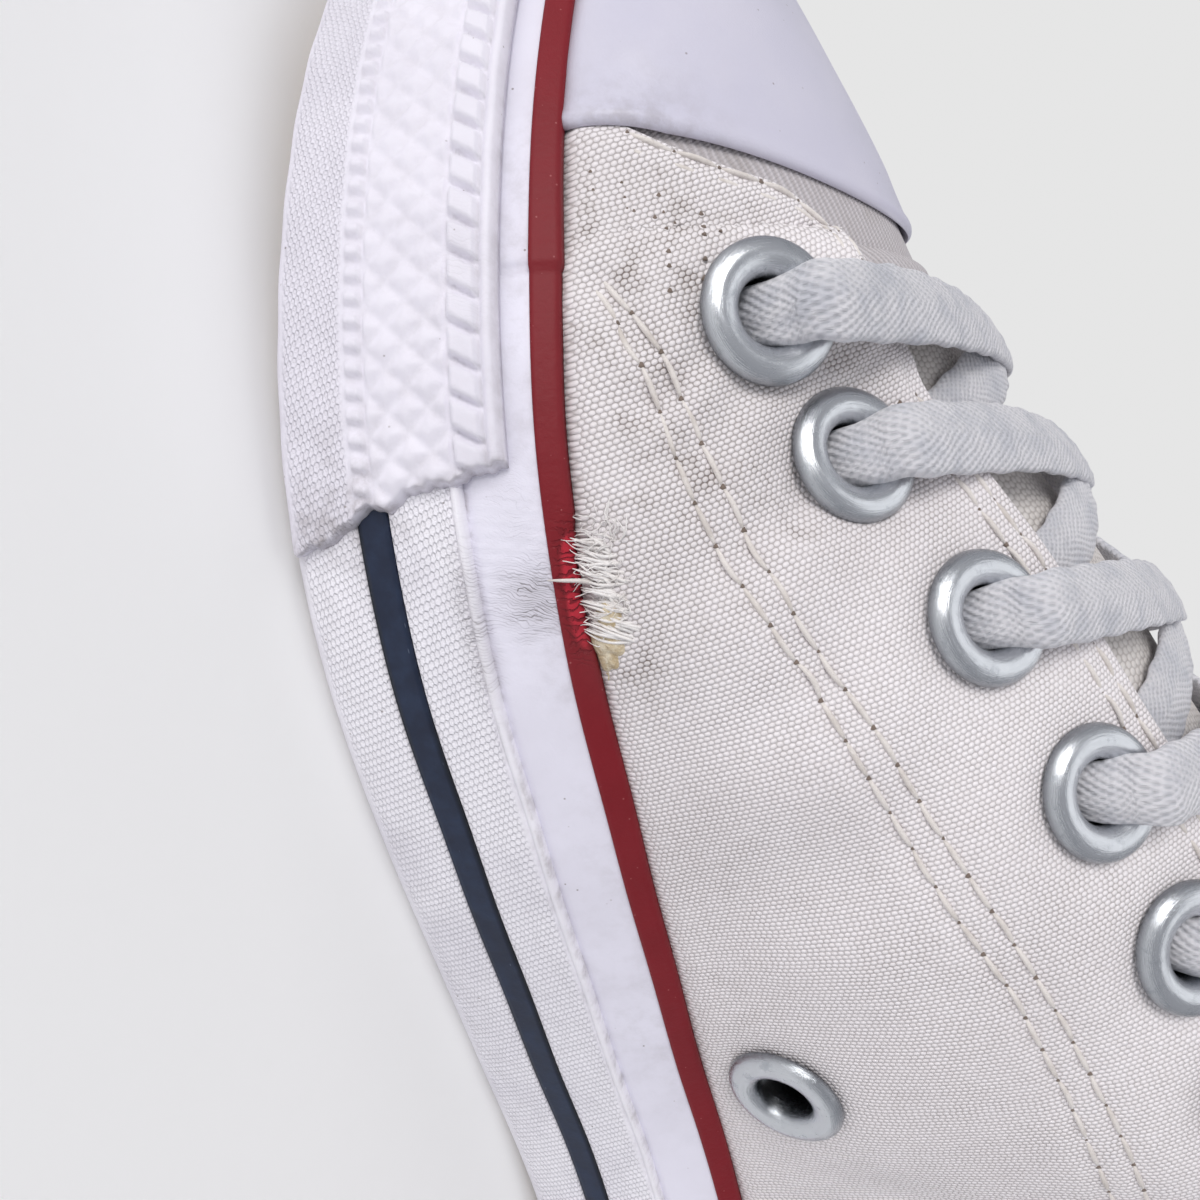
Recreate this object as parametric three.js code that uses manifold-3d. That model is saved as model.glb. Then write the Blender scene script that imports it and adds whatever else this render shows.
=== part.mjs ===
// Low canvas sneaker, right shoe. Millimetres, +Z up, +X to the toe, +Y to the inner (medial) side.
// Origin: on the floor, at the middle of the shoe's bounding box. Every piece is drawn around one last.
import * as THREE from "three";
import Module from "manifold-3d";

const wasm = await Module();
wasm.setup();

// ---- driving dimensions ----
const STATIONS = [
  [-139.5, 0], [-132, 20.5], [-112, 31], [-87.5, 32.5], [-59, 30.5], [-30.5, 28],
  [-5, 29], [21, 35.5], [45.5, 42.5], [71, 45.5], [96.5, 39.0], [119, 24],
  [132.5, -2], [123, -29.5], [101, -44.5], [76, -50.5], [49.5, -52.5], [21, -51],
  [-5, -46.5], [-30.5, -42], [-59, -38], [-87.5, -34.5], [-112, -32], [-132, -20]];
const TOE_SPRING = 7.3;        // lift of the sole under the toe tip
const ARCH_LIFT = 1.6;         // lift of the sole under the arch
const OUTSOLE_TOP = 2.7;       // top of the rubber bottom above its own lowest level
const LUG = 1.2;               // depth of the tread
const FOXING_LOW = 0.8;        // lower edge of the rubber side wall
const FOXING_TOP = 24.0;       // upper edge of the rubber side wall
const BUMPER_TOP = 19.4;       // upper edge of the toe bumper
const CAP_WALL = 1.1;          // toe cap thickness
const GAP = 0.3;               // clearance between neighbouring pieces
const UPPER_INSET = 3.9;       // canvas, measured in from the sole outline
const UPPER_WALL = 2.0;        // canvas and lining together
const CANVAS_START = 24.3;     // level where the canvas leaves the side wall
const INSOLE_INSET = 6.6;
const INSOLE_BASE = 3.3;
const INSOLE_TOP = 6.3;
const TONGUE_WALL = 2.4;
const EYELET_R = 5.5;          // eyelet flange radius
const EYELET_HOLE = 2.6;       // eyelet inner radius
const EYELET_BARREL = 3.1;     // eyelet barrel radius
const FLANGE_LIFT = 1.25;      // underside of the flange above the cloth
const HOLE_R = 3.75;           // hole in the canvas
const LACE_W = 6.4;
const LACE_T = 1.4;

// top line of the upper against v, the station counted from the heel on either side
const THROAT_ROUND = 9.2;      // the throat starts to close here
const THROAT_END = 9.75;       // and is closed from here to the toe
const POLE = 10.6;             // the ridge ends here
const RIDGE = { x: 84.5, z: 53.8, slope: -0.36 };
const TOP_X = [[-1, -125], [0, -132], [1, -125], [2, -105], [3, -80], [4, -54], [5, -26], [5.7, -9],
  [6.3, 5], [7.3, 31], [8.3, 58], [9.2, 78.5], [9.75, 84.5], [10.6, 99]];
const TOP_Z = [[-1, 71], [0, 74], [1, 71], [2, 62], [3, 55], [4, 58], [5, 75], [5.6, 87.5],
  [6.3, 82.5], [7.3, 72], [8.3, 59.5], [9.2, 49.5], [9.75, 53.8], [10.6, 48.5]];
const TOP_W = [[-1, -21], [0, 0], [1, 21], [2, 31], [3, 34], [4, 32.5], [5, 28], [5.7, 25.5],
  [6.3, 24.5], [7.3, 23.5], [8.3, 22.5], [9.2, 21.5], [9.75, 20], [10.6, 20]];
const CENTRE_Y = [[-140, 0], [-60, -1.5], [0, 1], [60, 3.5], [99, 3]];
const TOP_FALL = [[0, 88], [4.5, 84], [5.6, 70], [6.3, 60], [7.3, 46], [8.3, 38], [9.2, 32], [9.75, 0]];
const RISE = [[0, 0.40], [3, 0.40], [6, 0.35], [8, 0.34], [9.5, 0.24], [10.6, 0.36], [12, 0.45]];
const BULGE = [[0, 3], [3, 3], [5, 5], [6, 7], [7, 6], [8, 4], [9.5, 0.8], [10.6, 1], [12, 0.8]];
const FULL = [[0, 0.30], [4, 0.34], [6, 0.42], [8, 0.42], [9.5, 0.38], [10.6, 0.5], [12, 0.55]];

// side wall section: [inset from the outline, height]
const FOXING_FACE = [[1.0, 0.8], [0.25, 2.0], [0, 4.2], [0, 9.7], [0.4, 15.6], [1.4, 21.7], [2.2, 24.0]];
const FOXING_BACK = [[3.3, 24.0], [3.5, 20.0], [3.5, 0.8]];

// ---- small vector help ----
const add = (a, b) => [a[0] + b[0], a[1] + b[1], a[2] + b[2]];
const sub = (a, b) => [a[0] - b[0], a[1] - b[1], a[2] - b[2]];
const mul = (a, k) => [a[0] * k, a[1] * k, a[2] * k];
const dot = (a, b) => a[0] * b[0] + a[1] * b[1] + a[2] * b[2];
const cross = (a, b) => [a[1] * b[2] - a[2] * b[1], a[2] * b[0] - a[0] * b[2], a[0] * b[1] - a[1] * b[0]];
const len = (a) => Math.sqrt(dot(a, a));
const unit = (a) => mul(a, 1 / Math.max(len(a), 1e-9));
const mix = (a, b, f) => add(mul(a, 1 - f), mul(b, f));
const clamp = (x, lo, hi) => Math.min(Math.max(x, lo), hi);

// ---- the last ----
function solveRing(points) {
  // control points of the closed cubic B-spline that passes through the stations
  let c = points.map((p) => p.slice());
  const n = points.length;
  for (let pass = 0; pass < 60; pass++) {
    c = c.map((_, i) => [0, 1].map((k) =>
      (6 * points[i][k] - c[(i + n - 1) % n][k] - c[(i + 1) % n][k]) / 4));
  }
  return c;
}
const CONTROL = solveRing(STATIONS);

function ring(u) {
  const w = ((u % 24) + 24) % 24;
  const i = Math.floor(w);
  const f = w - i;
  const k = [(1 - f) ** 3 / 6, (3 * f ** 3 - 6 * f * f + 4) / 6,
    (-3 * f ** 3 + 3 * f * f + 3 * f + 1) / 6, f ** 3 / 6];
  const p = [0, 0];
  for (let j = 0; j < 4; j++) {
    const c = CONTROL[(i - 1 + j + 24) % 24];
    p[0] += k[j] * c[0];
    p[1] += k[j] * c[1];
  }
  return p;
}

function ringNormal(u) {
  const a = ring(u - 1e-3);
  const b = ring(u + 1e-3);
  const l = Math.hypot(b[0] - a[0], b[1] - a[1]);
  return [-(b[1] - a[1]) / l, (b[0] - a[0]) / l];
}

function through(keys, v) {
  // smooth curve through the keys, flat at both ends
  const n = keys.length;
  const x = clamp(v, keys[0][0], keys[n - 1][0]);
  let i = 0;
  while (i < n - 2 && x >= keys[i + 1][0]) i++;
  const slope = (j) => {
    if (j === 0 || j === n - 1) return 0;
    const h0 = keys[j][0] - keys[j - 1][0];
    const h1 = keys[j + 1][0] - keys[j][0];
    const d0 = (keys[j][1] - keys[j - 1][1]) / h0;
    const d1 = (keys[j + 1][1] - keys[j][1]) / h1;
    return (d0 * h1 + d1 * h0) / (h0 + h1);
  };
  const h = keys[i + 1][0] - keys[i][0];
  const f = (x - keys[i][0]) / h;
  return (2 * f ** 3 - 3 * f * f + 1) * keys[i][1] + (f ** 3 - 2 * f * f + f) * h * slope(i)
    + (-2 * f ** 3 + 3 * f * f) * keys[i + 1][1] + (f ** 3 - f * f) * h * slope(i + 1);
}

function soleLevel(x) {
  const q = Math.max((x - 45) / 92, 0);
  const a = Math.max(1 - ((x + 28) / 42) ** 2, 0);
  return TOE_SPRING * q * q + ARCH_LIFT * a * a;
}

function sidePoint(u, inset, height) {
  // a point of the sole: inset from the outline, height above the local sole level
  const p = ring(u);
  const n = ringNormal(u);
  const x = p[0] - inset * n[0];
  return [x, p[1] - inset * n[1], soleLevel(x) + height];
}

function topPoint(u) {
  const w = ((u % 24) + 24) % 24;
  const side = w <= 12 ? 1 : -1;
  const v = Math.min(w, 24 - w);
  const x = through(TOP_X, v);
  const z = v < THROAT_END ? through(TOP_Z, v) : RIDGE.z + RIDGE.slope * (x - RIDGE.x);
  const q = clamp((v - THROAT_ROUND) / (THROAT_END - THROAT_ROUND), 0, 1);
  const half = through(TOP_W, v) * Math.sqrt(Math.max(1 - q * q, 0));
  return [x, through(CENTRE_Y, x) + side * half, z];
}

function canvas(u, t) {
  // outer face of the upper: t 0 at the side wall, 1 at the ridge, throat edge or collar
  const w = ((u % 24) + 24) % 24;
  const v = Math.min(w, 24 - w);
  const p0 = sidePoint(u, UPPER_INSET, CANVAS_START);
  const p3 = topPoint(u);
  const n = ringNormal(u);
  const high = p3[2] - p0[2];
  const out = through(BULGE, v);
  const p1 = [p0[0] + n[0] * out, p0[1] + n[1] * out, p0[2] + through(RISE, v) * high];
  const flat = Math.hypot(p0[0] - p3[0], p0[1] - p3[1]);
  let dx = (p0[0] - p3[0]) / Math.max(flat, 1e-6);
  let dy = (p0[1] - p3[1]) / Math.max(flat, 1e-6);
  const near = clamp((5 - v) / 1.5, 0, 1);
  dx = dx * (1 - near) + n[0] * near;
  dy = dy * (1 - near) + n[1] * near;
  const l = Math.hypot(dx, dy);
  dx /= l;
  dy /= l;
  const fall = through(TOP_FALL, v) * Math.PI / 180;
  const onRidge = clamp((v - THROAT_ROUND) / (THROAT_END - THROAT_ROUND), 0, 1);
  const reach = through(FULL, v) * Math.hypot(flat, high);
  const p2 = [p3[0] + reach * dx * Math.cos(fall), p3[1] + reach * dy * Math.cos(fall),
    p3[2] + reach * (RIDGE.slope * onRidge * dx - Math.sin(fall))];
  const s = 1 - t;
  const k = [s ** 3, 3 * s * s * t, 3 * s * t * t, t ** 3];
  return [0, 1, 2].map((i) => k[0] * p0[i] + k[1] * p1[i] + k[2] * p2[i] + k[3] * p3[i]);
}

function canvasNormal(u, t) {
  const w = ((u % 24) + 24) % 24;
  const v = Math.min(w, 24 - w);
  if (t > 0.999 && v >= THROAT_END - 1e-9) {
    return unit([-RIDGE.slope, 0, 1]);
  }
  const e = 1e-3;
  const tt = clamp(t, e, 1 - e);
  const a = sub(canvas(u + e, t), canvas(u - e, t));
  const b = sub(canvas(u, tt + e), canvas(u, tt - e));
  return unit(cross(b, a));
}

const canvasAt = (u, t, out) => add(canvas(u, t), mul(canvasNormal(u, t), out));

// ---- mesh help ----
class Builder {
  constructor() {
    this.points = [];
    this.faces = [];
    this.seen = new Map();
  }

  point(p) {
    // equal places become one vertex, so closed rings and the ridge weld
    const key = p.map((c) => Math.round(c * 2000)).join(",");
    if (!this.seen.has(key)) {
      this.seen.set(key, this.points.length);
      this.points.push(p);
    }
    return this.seen.get(key);
  }

  tri(a, b, c) {
    if (a !== b && b !== c && a !== c) this.faces.push([a, b, c]);
  }

  quad(a, b, c, d) {
    this.tri(a, b, c);
    this.tri(a, c, d);
  }

  tube(rings, closed) {
    // skin over closed section loops; open runs are capped with fans
    const ids = rings.map((r) => r.map((p) => this.point(p)));
    const n = ids.length;
    const m = ids[0].length;
    for (let j = 0; j < (closed ? n : n - 1); j++) {
      const a = ids[j];
      const b = ids[(j + 1) % n];
      for (let i = 0; i < m; i++) {
        const k = (i + 1) % m;
        this.quad(a[i], b[i], b[k], a[k]);
      }
    }
    if (!closed) {
      for (let i = 1; i < m - 1; i++) {
        this.tri(ids[0][0], ids[0][i], ids[0][i + 1]);
        this.tri(ids[n - 1][0], ids[n - 1][i + 1], ids[n - 1][i]);
      }
    }
    return this;
  }

  solid() {
    // faces turned outward, as a manifold
    let volume = 0;
    for (const [a, b, c] of this.faces) {
      volume += dot(this.points[a], cross(this.points[b], this.points[c]));
    }
    const tris = volume < 0 ? this.faces.map(([a, b, c]) => [a, c, b]) : this.faces;
    const mesh = new wasm.Mesh({
      numProp: 3,
      vertProperties: new Float32Array(this.points.flat()),
      triVerts: new Uint32Array(tris.flat()),
    });
    mesh.merge();
    return new wasm.Manifold(mesh);
  }
}

function range(n, from, to) {
  return Array.from({ length: n + 1 }, (_, i) => from + (to - from) * i / n);
}

const group = new THREE.Group();
group.name = "sneaker";

function place(name, solid, colour, roughness, metalness) {
  const got = solid.getMesh();
  const geometry = new THREE.BufferGeometry();
  geometry.setAttribute("position", new THREE.BufferAttribute(new Float32Array(got.vertProperties), 3));
  geometry.setIndex(new THREE.BufferAttribute(new Uint32Array(got.triVerts), 1));
  geometry.computeVertexNormals();
  const mesh = new THREE.Mesh(geometry, new THREE.MeshStandardMaterial({ color: colour, roughness, metalness }));
  mesh.name = name;
  group.add(mesh);
}

// ---- upper: one hollow wall ----
const HALF = [...range(7, 0, 4).slice(0, -1), ...range(12, 4, THROAT_ROUND).slice(0, -1),
  ...range(4, THROAT_ROUND, THROAT_END).slice(0, -1), ...range(3, THROAT_END, POLE).slice(0, -1),
  ...range(4, POLE, 12)];
const COLUMNS = [...HALF, ...HALF.slice(1, -1).reverse().map((v) => 24 - v)];
const ROWS = range(7, 0, 1);

function upperWall() {
  const b = new Builder();
  const foot = (u, inset) => sidePoint(u, inset, OUTSOLE_TOP + GAP);
  const rings = COLUMNS.map((u) => {
    const outer = [foot(u, UPPER_INSET), ...ROWS.map((t) => canvas(u, t))];
    const inner = [foot(u, UPPER_INSET + UPPER_WALL), ...ROWS.map((t) => canvasAt(u, t, -UPPER_WALL))];
    return [...outer, ...inner.reverse()];
  });
  const ids = rings.map((r) => r.map((p) => b.point(p)));
  const n = ids.length;
  const m = ids[0].length;
  const half = m / 2;
  for (let j = 0; j < n; j++) {
    const k = (j + 1) % n;
    const v = Math.min(COLUMNS[j], 24 - COLUMNS[j]);
    const w = Math.min(COLUMNS[k], 24 - COLUMNS[k]);
    const closedTop = Math.min(v, w) >= THROAT_END - 1e-6;
    for (let i = 0; i < m; i++) {
      if (i === half - 1 && closedTop) continue;
      const q = (i + 1) % m;
      b.quad(ids[j][i], ids[k][i], ids[k][q], ids[j][q]);
    }
  }
  return b.solid();
}

// ---- eyelet places: [v, t] on the medial side, mirrored to the lateral side ----
const EYELET_V = [9.44, 8.86, 8.29, 7.70, 7.15, 6.63, 6.12];
const EYELET_DOWN = [18.6, 11.0, 10.0, 9.5, 9.3, 9.2, 9.2];  // from the throat edge to the centre
function edgeT(u, reach) {
  // walk down from the top edge until the arc is as long as asked
  let t = 1;
  let arc = 0;
  let last = canvas(u, 1);
  while (arc < reach && t > 0.02) {
    t -= 0.004;
    const p = canvas(u, t);
    arc += len(sub(p, last));
    last = p;
  }
  return t;
}
const VENTS = [[6.61, 0.14], [5.74, 0.15]];
const EYELETS = [];
EYELET_V.forEach((v, i) => {
  EYELETS.push({ name: `eyelet_medial_${i + 1}`, u: v, t: edgeT(v, EYELET_DOWN[i]) });
  EYELETS.push({ name: `eyelet_lateral_${i + 1}`, u: 24 - v, t: edgeT(24 - v, EYELET_DOWN[i]) });
});
VENTS.forEach(([u, t], i) => EYELETS.push({ name: `vent_eyelet_${i + 1}`, u, t }));

function frameAt(u, t) {
  const n = canvasNormal(u, t);
  const e = 1e-3;
  const along = unit(sub(canvas(u + e, t), canvas(u - e, t)));
  return { p: canvas(u, t), n, a: along, b: cross(n, along) };
}

function spin(frame, profile, segments) {
  // profile of [radius, height] turned round the frame's normal
  const b = new Builder();
  const rings = range(segments, 0, 2 * Math.PI).slice(0, -1).map((angle) => profile.map(([r, h]) =>
    add(frame.p, add(mul(frame.n, h), add(mul(frame.a, r * Math.cos(angle)), mul(frame.b, r * Math.sin(angle)))))));
  return b.tube(rings, true).solid();
}

function drill(frame, radius, low, high) {
  const b = new Builder();
  const circle = (h) => range(10, 0, 2 * Math.PI).slice(0, -1).map((angle) =>
    add(frame.p, add(mul(frame.n, h), add(mul(frame.a, radius * Math.cos(angle)),
      mul(frame.b, radius * Math.sin(angle))))));
  return b.tube([circle(low), circle(high)], false).solid();
}

let upper = upperWall();
for (const e of EYELETS) {
  // a round hole for the barrel and a shallow seat that keeps the flange clear of the cloth
  e.frame = frameAt(e.u, e.t);
  upper = upper.subtract(drill(e.frame, HOLE_R, -UPPER_WALL - 2, 2));
  upper = upper.subtract(drill(e.frame, EYELET_R + 0.5, FLANGE_LIFT - GAP, 3));
}
place("upper", upper, 0xd9d3cd, 0.9, 0);

for (const e of EYELETS) {
  const low = 0.2 - UPPER_WALL;
  const profile = [[EYELET_HOLE, FLANGE_LIFT], [EYELET_HOLE, low], [EYELET_BARREL, low],
    [EYELET_BARREL, FLANGE_LIFT], [EYELET_R, FLANGE_LIFT], [EYELET_R - 0.4, FLANGE_LIFT + 0.75],
    [EYELET_HOLE + 0.9, FLANGE_LIFT + 0.95]];
  place(e.name, spin(e.frame, profile, 8), 0xaab2bb, 0.35, 1);
}

// ---- rubber side wall ----
const RINGS = range(64, 0, 24).slice(0, -1);
function foxing() {
  const section = [...FOXING_FACE, ...FOXING_BACK];
  const rings = RINGS.map((u) => section.map(([inset, h]) => sidePoint(u, inset, h)));
  return new Builder().tube(rings, true).solid();
}
place("foxing", foxing(), 0xe2e0ea, 0.55, 0);

// ---- toe bumper: embossed strip round the front ----
const BUMPER_FROM = 9.0;
const BUMPER_TO = 15.0;
function bumper() {
  const inner = [[1.0, 0.9], [0.25, 2.0], [0, 4.2], [0, 9.7], [0.4, 15.6], [1.0, BUMPER_TOP]];
  const outer = inner.map(([inset, h], i) => [inset - GAP - (i === 0 ? 0.7 : 1.2), h]);
  const section = [...outer, ...inner.map(([inset, h]) => [inset - GAP, h]).reverse()];
  const rings = range(16, BUMPER_FROM, BUMPER_TO).map((u) => section.map(([i, h]) => sidePoint(u, i, h)));
  return new Builder().tube(rings, false).solid();
}
place("toe_bumper", bumper(), 0xe4e2ea, 0.5, 0);

// ---- outsole: true outline, arch, toe spring, heel and tread lugs ----
const SOLE_EDGE = 4.1;
const OUTLINE = range(96, 0, 24).slice(0, -1);
function sheet(inset, low, high, rows) {
  // flat piece that follows the sole level, ruled across from the inner side to the outer side
  const b = new Builder();
  const ribs = [];
  for (let k = 0; k <= 48; k++) {
    const a = k / 48 * 12;
    ribs.push([sidePoint(a, inset, 0), sidePoint(24 - a, inset, 0)]);
  }
  const grid = (h) => ribs.map(([m, l]) => range(rows, 0, 1).map((f) => {
    const x = m[0] + (l[0] - m[0]) * f;
    return b.point([x, m[1] + (l[1] - m[1]) * f, soleLevel(x) + h]);
  }));
  const bottom = grid(low);
  const topGrid = grid(high);
  for (let j = 0; j < 48; j++) {
    for (let i = 0; i < rows; i++) {
      b.quad(topGrid[j][i], topGrid[j][i + 1], topGrid[j + 1][i + 1], topGrid[j + 1][i]);
      b.quad(bottom[j][i], bottom[j + 1][i], bottom[j + 1][i + 1], bottom[j][i + 1]);
    }
    b.quad(topGrid[j][0], topGrid[j + 1][0], bottom[j + 1][0], bottom[j][0]);
    b.quad(topGrid[j][rows], bottom[j][rows], bottom[j + 1][rows], topGrid[j + 1][rows]);
  }
  return b.solid();
}

function bar(x, y, z, half, deep, tall, turn) {
  const b = new Builder();
  const c = Math.cos(turn);
  const s = Math.sin(turn);
  const corner = (i, j) => [x + i * half * c - j * deep * s, y + i * half * s + j * deep * c];
  const loop = (h) => [[-1, -1], [1, -1], [1, 1], [-1, 1]].map(([i, j]) => [...corner(i, j), h]);
  return b.tube([loop(z), loop(z + tall)], false).solid();
}

let outsole = sheet(SOLE_EDGE, 0, OUTSOLE_TOP, 4);
for (let i = 0; i < 12; i++) {
  // grooves across the forefoot and the heel leave broad lugs between them
  const x = i < 7 ? 106 - i * 14 : -62 - (i - 7) * 14;
  const side = i < 7 ? -3 : 0;
  outsole = outsole.subtract(bar(x, side, -6, 1.5, i < 7 ? 33 : 24, 6 + LUG + soleLevel(x), 0));
}
place("outsole", outsole, 0x9a7b58, 0.7, 0);

// ---- insole ----
place("insole", sheet(INSOLE_INSET, INSOLE_BASE, INSOLE_TOP, 2), 0xcfc9c0, 0.95, 0);

// ---- toe cap: cut between two larger forms of the upper ----
function bulk(out, low) {
  // filled form of the upper's outer face, grown by out; serves only as a cutter
  const b = new Builder();
  const columns = COLUMNS.filter((u) => u >= 8 && u <= 16);
  const ts = range(9, 0, 1);
  const ids = columns.map((u) => {
    const skin = ts.map((t) => b.point(canvasAt(u, t, out)));
    const p = canvasAt(u, 0, out);
    return [b.point([p[0], p[1], low]), ...skin];
  });
  for (let j = 0; j + 1 < ids.length; j++) {
    for (let i = 0; i + 1 < ids[0].length; i++) {
      b.quad(ids[j][i], ids[j + 1][i], ids[j + 1][i + 1], ids[j][i + 1]);
    }
  }
  return { b, ids, columns, low };
}

function bulkSolid(out, low) {
  // closed with a flat floor, a lid over the throat and a flat wall at the back
  const { b, ids } = bulk(out, low);
  const n = ids.length;
  const last = ids[0].length - 1;
  const floor = b.point([60, 0, low]);
  const lid = b.point(add(topPoint(9.2), [-12, -16, 2]));
  for (let j = 0; j + 1 < n; j++) {
    b.tri(floor, ids[j + 1][0], ids[j][0]);
    b.tri(lid, ids[j][last], ids[j + 1][last]);
  }
  const back = [...ids[0], lid, ...ids[n - 1].slice().reverse()];
  for (let i = 0; i + 1 < back.length; i++) b.tri(floor, back[i], back[i + 1]);
  return b.solid();
}

function capForm() {
  // everything in front of the cap's rear edge, above the side wall
  const b = new Builder();
  const edge = range(16, -60, 60).map((y) => [CAP_EDGE(y), y]);
  const loop = (z) => [...edge.map(([x, y]) => [x, y, z]), [170, 60, z], [170, -60, z]];
  return b.tube([loop(0), loop(80)], false).solid();
}
const CAP_EDGE = (y) => 88.8 + 0.0085 * (y - 3) ** 2;

function raisedFoxing() {
  // room taken by the side wall and everything under it
  const rings = OUTLINE.map((u) => [sidePoint(u, -6, FOXING_TOP + GAP), sidePoint(u, -6, -20),
    sidePoint(u, 14, -20), sidePoint(u, 14, FOXING_TOP + GAP)]);
  return new Builder().tube(rings, true).solid();
}

const cap = bulkSolid(GAP + CAP_WALL, 10).subtract(bulkSolid(GAP, 5)).intersect(capForm())
  .subtract(raisedFoxing());
place("toe_cap", cap, 0xe3e1ec, 0.4, 0);

// ---- heel stay: strip over the seam at the back ----
function heelStay() {
  const cols = range(6, -0.32, 0.32);
  const ts = range(8, 0.03, 0.9);
  const rings = cols.map((u) => [...ts.map((t) => canvasAt(u, t, GAP + 1.0)),
    ...ts.map((t) => canvasAt(u, t, GAP)).reverse()]);
  return new Builder().tube(rings, false).solid();
}
place("heel_stay", heelStay(), 0xd5cfc9, 0.9, 0);

// ---- tongue: one curved sheet under the eyestays ----
const TONGUE_TUCK = UPPER_WALL + 0.7;
function tongueRow(v) {
  // points across the tongue's outer face, inner side to outer side
  const vv = Math.max(v, 5.75);
  const reach = v > THROAT_END ? 9 : 11;
  const side = (u) => [reach, reach / 2, 0.3].map((r) => canvasAt(u, r > 0.3 ? edgeT(u, r) : 1, -TONGUE_TUCK));
  const m = side(vv);
  const l = side(24 - vv);
  const width = len(sub(m[2], l[2]));
  let row;
  if (v > THROAT_END - 0.05) {
    row = [m[0], mix(m[0], m[1], 0.5), m[1], mix(m[1], m[2], 0.5), m[2], mix(l[1], l[2], 0.5), l[1],
      mix(l[0], l[1], 0.5), l[0]];
  } else {
    const crown = mul(add(m[2], l[2]), 0.5);
    const lift = 0.20 * width * clamp((THROAT_END - v) / 0.4, 0, 1);
    const arch = (f) => add(mix(m[2], l[2], f), [0.3 * lift * 4 * f * (1 - f), 0, lift * 4 * f * (1 - f)]);
    row = [m[0], m[1], m[2], arch(0.25), add(crown, [0.3 * lift, 0, lift]), arch(0.75), l[2], l[1], l[0]];
  }
  return row;
}

function tongue() {
  const vs = [10.25, 10.0, 9.8, 9.6, 9.4, 9.2, 8.8, 8.4, 8.0, 7.6, 7.2, 6.8, 6.4, 6.0, 5.75];
  const rows = vs.map(tongueRow);
  const last = rows[rows.length - 1];
  for (const [far, climb] of [[8, [-0.80, 0, 0.60]], [16, [-0.74, 0, 0.67]], [23, [-0.70, 0, 0.71]]]) {
    // free end: keeps its curve and narrows a little at the corners
    const narrow = far > 20 ? 0.82 : 0.97;
    const c = mul(add(last[0], last[8]), 0.5);
    rows.push(last.map((p) => add(add(c, mul(sub(p, c), narrow)), mul(climb, far))));
  }
  const down = rows.map((row, j) => row.map((p, i) => {
    const a = rows[Math.max(j - 1, 0)][i];
    const b = rows[Math.min(j + 1, rows.length - 1)][i];
    const c = row[Math.max(i - 1, 0)];
    const d = row[Math.min(i + 1, 8)];
    let n = unit(cross(sub(b, a), sub(d, c)));
    if (n[2] < 0 && n[0] < 0.2) n = mul(n, -1);
    return add(p, mul(n, -TONGUE_WALL));
  }));
  const rings = rows.map((row, j) => [...row, ...down[j].slice().reverse()]);
  return new Builder().tube(rings, false).solid();
}
place("tongue", tongue(), 0xd8d2cc, 0.92, 0);

// ---- lace: six crossings up the throat; each crossing is one joined piece ----
function strap(path, normals) {
  const rings = path.map((p, i) => {
    const a = path[Math.max(i - 1, 0)];
    const b = path[Math.min(i + 1, path.length - 1)];
    const dir = unit(sub(b, a));
    const wide = unit(cross(normals[i], dir));
    const up = cross(dir, wide);
    const corner = (s, h) => add(p, add(mul(wide, s * LACE_W / 2), mul(up, h)));
    return [corner(-1, 0), corner(1, 0), corner(1, LACE_T), corner(-1, LACE_T)];
  });
  return new Builder().tube(rings, false).solid();
}

const LACE_RIDE = 3.0;         // strap above the cloth where it leaves an eyelet

function laceStrap(i, to, lateralStart) {
  const uA = lateralStart ? 24 - EYELET_V[i] : EYELET_V[i];
  const a = frameAt(uA, edgeT(uA, EYELET_DOWN[i] - 3));
  const e = frameAt(uA, 0.995);
  const rowA = tongueRow(EYELET_V[i]);
  const rowB = tongueRow(EYELET_V[to]);
  const m = mul(add(rowA[4], rowB[4]), 0.5);
  const up = unit([0.45, 0, 0.9]);
  const start = add(a.p, mul(a.n, LACE_RIDE));
  const edge = add(e.p, mul(e.n, LACE_RIDE - 0.4));
  const crown = add(m, mul(up, 2.2));
  const sideB = lateralStart ? rowB[3] : rowB[5];
  const end = add(mix(m, sideB, 0.6), mul(up, 1.3));
  const path = [start, edge, add(mix(edge, crown, 0.5), [0, 0, 0.8]), crown, end];
  return strap(path, [a.n, unit(add(e.n, up)), up, up, up]);
}

for (let i = 0; i < EYELET_V.length - 1; i++) {
  const joined = laceStrap(i, i + 1, false).add(laceStrap(i, i + 1, true));
  place(`lace_cross_${i + 1}`, joined, 0xccd0d8, 0.85, 0);
}

// origin under the middle of the whole shoe
const whole = new THREE.Box3();
for (const mesh of group.children) {
  mesh.geometry.computeBoundingBox();
  whole.union(mesh.geometry.boundingBox);
}
const middle = whole.getCenter(new THREE.Vector3());
for (const mesh of group.children) {
  mesh.geometry.translate(-middle.x, -middle.y, -whole.min.z);
}

export default group;
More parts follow.
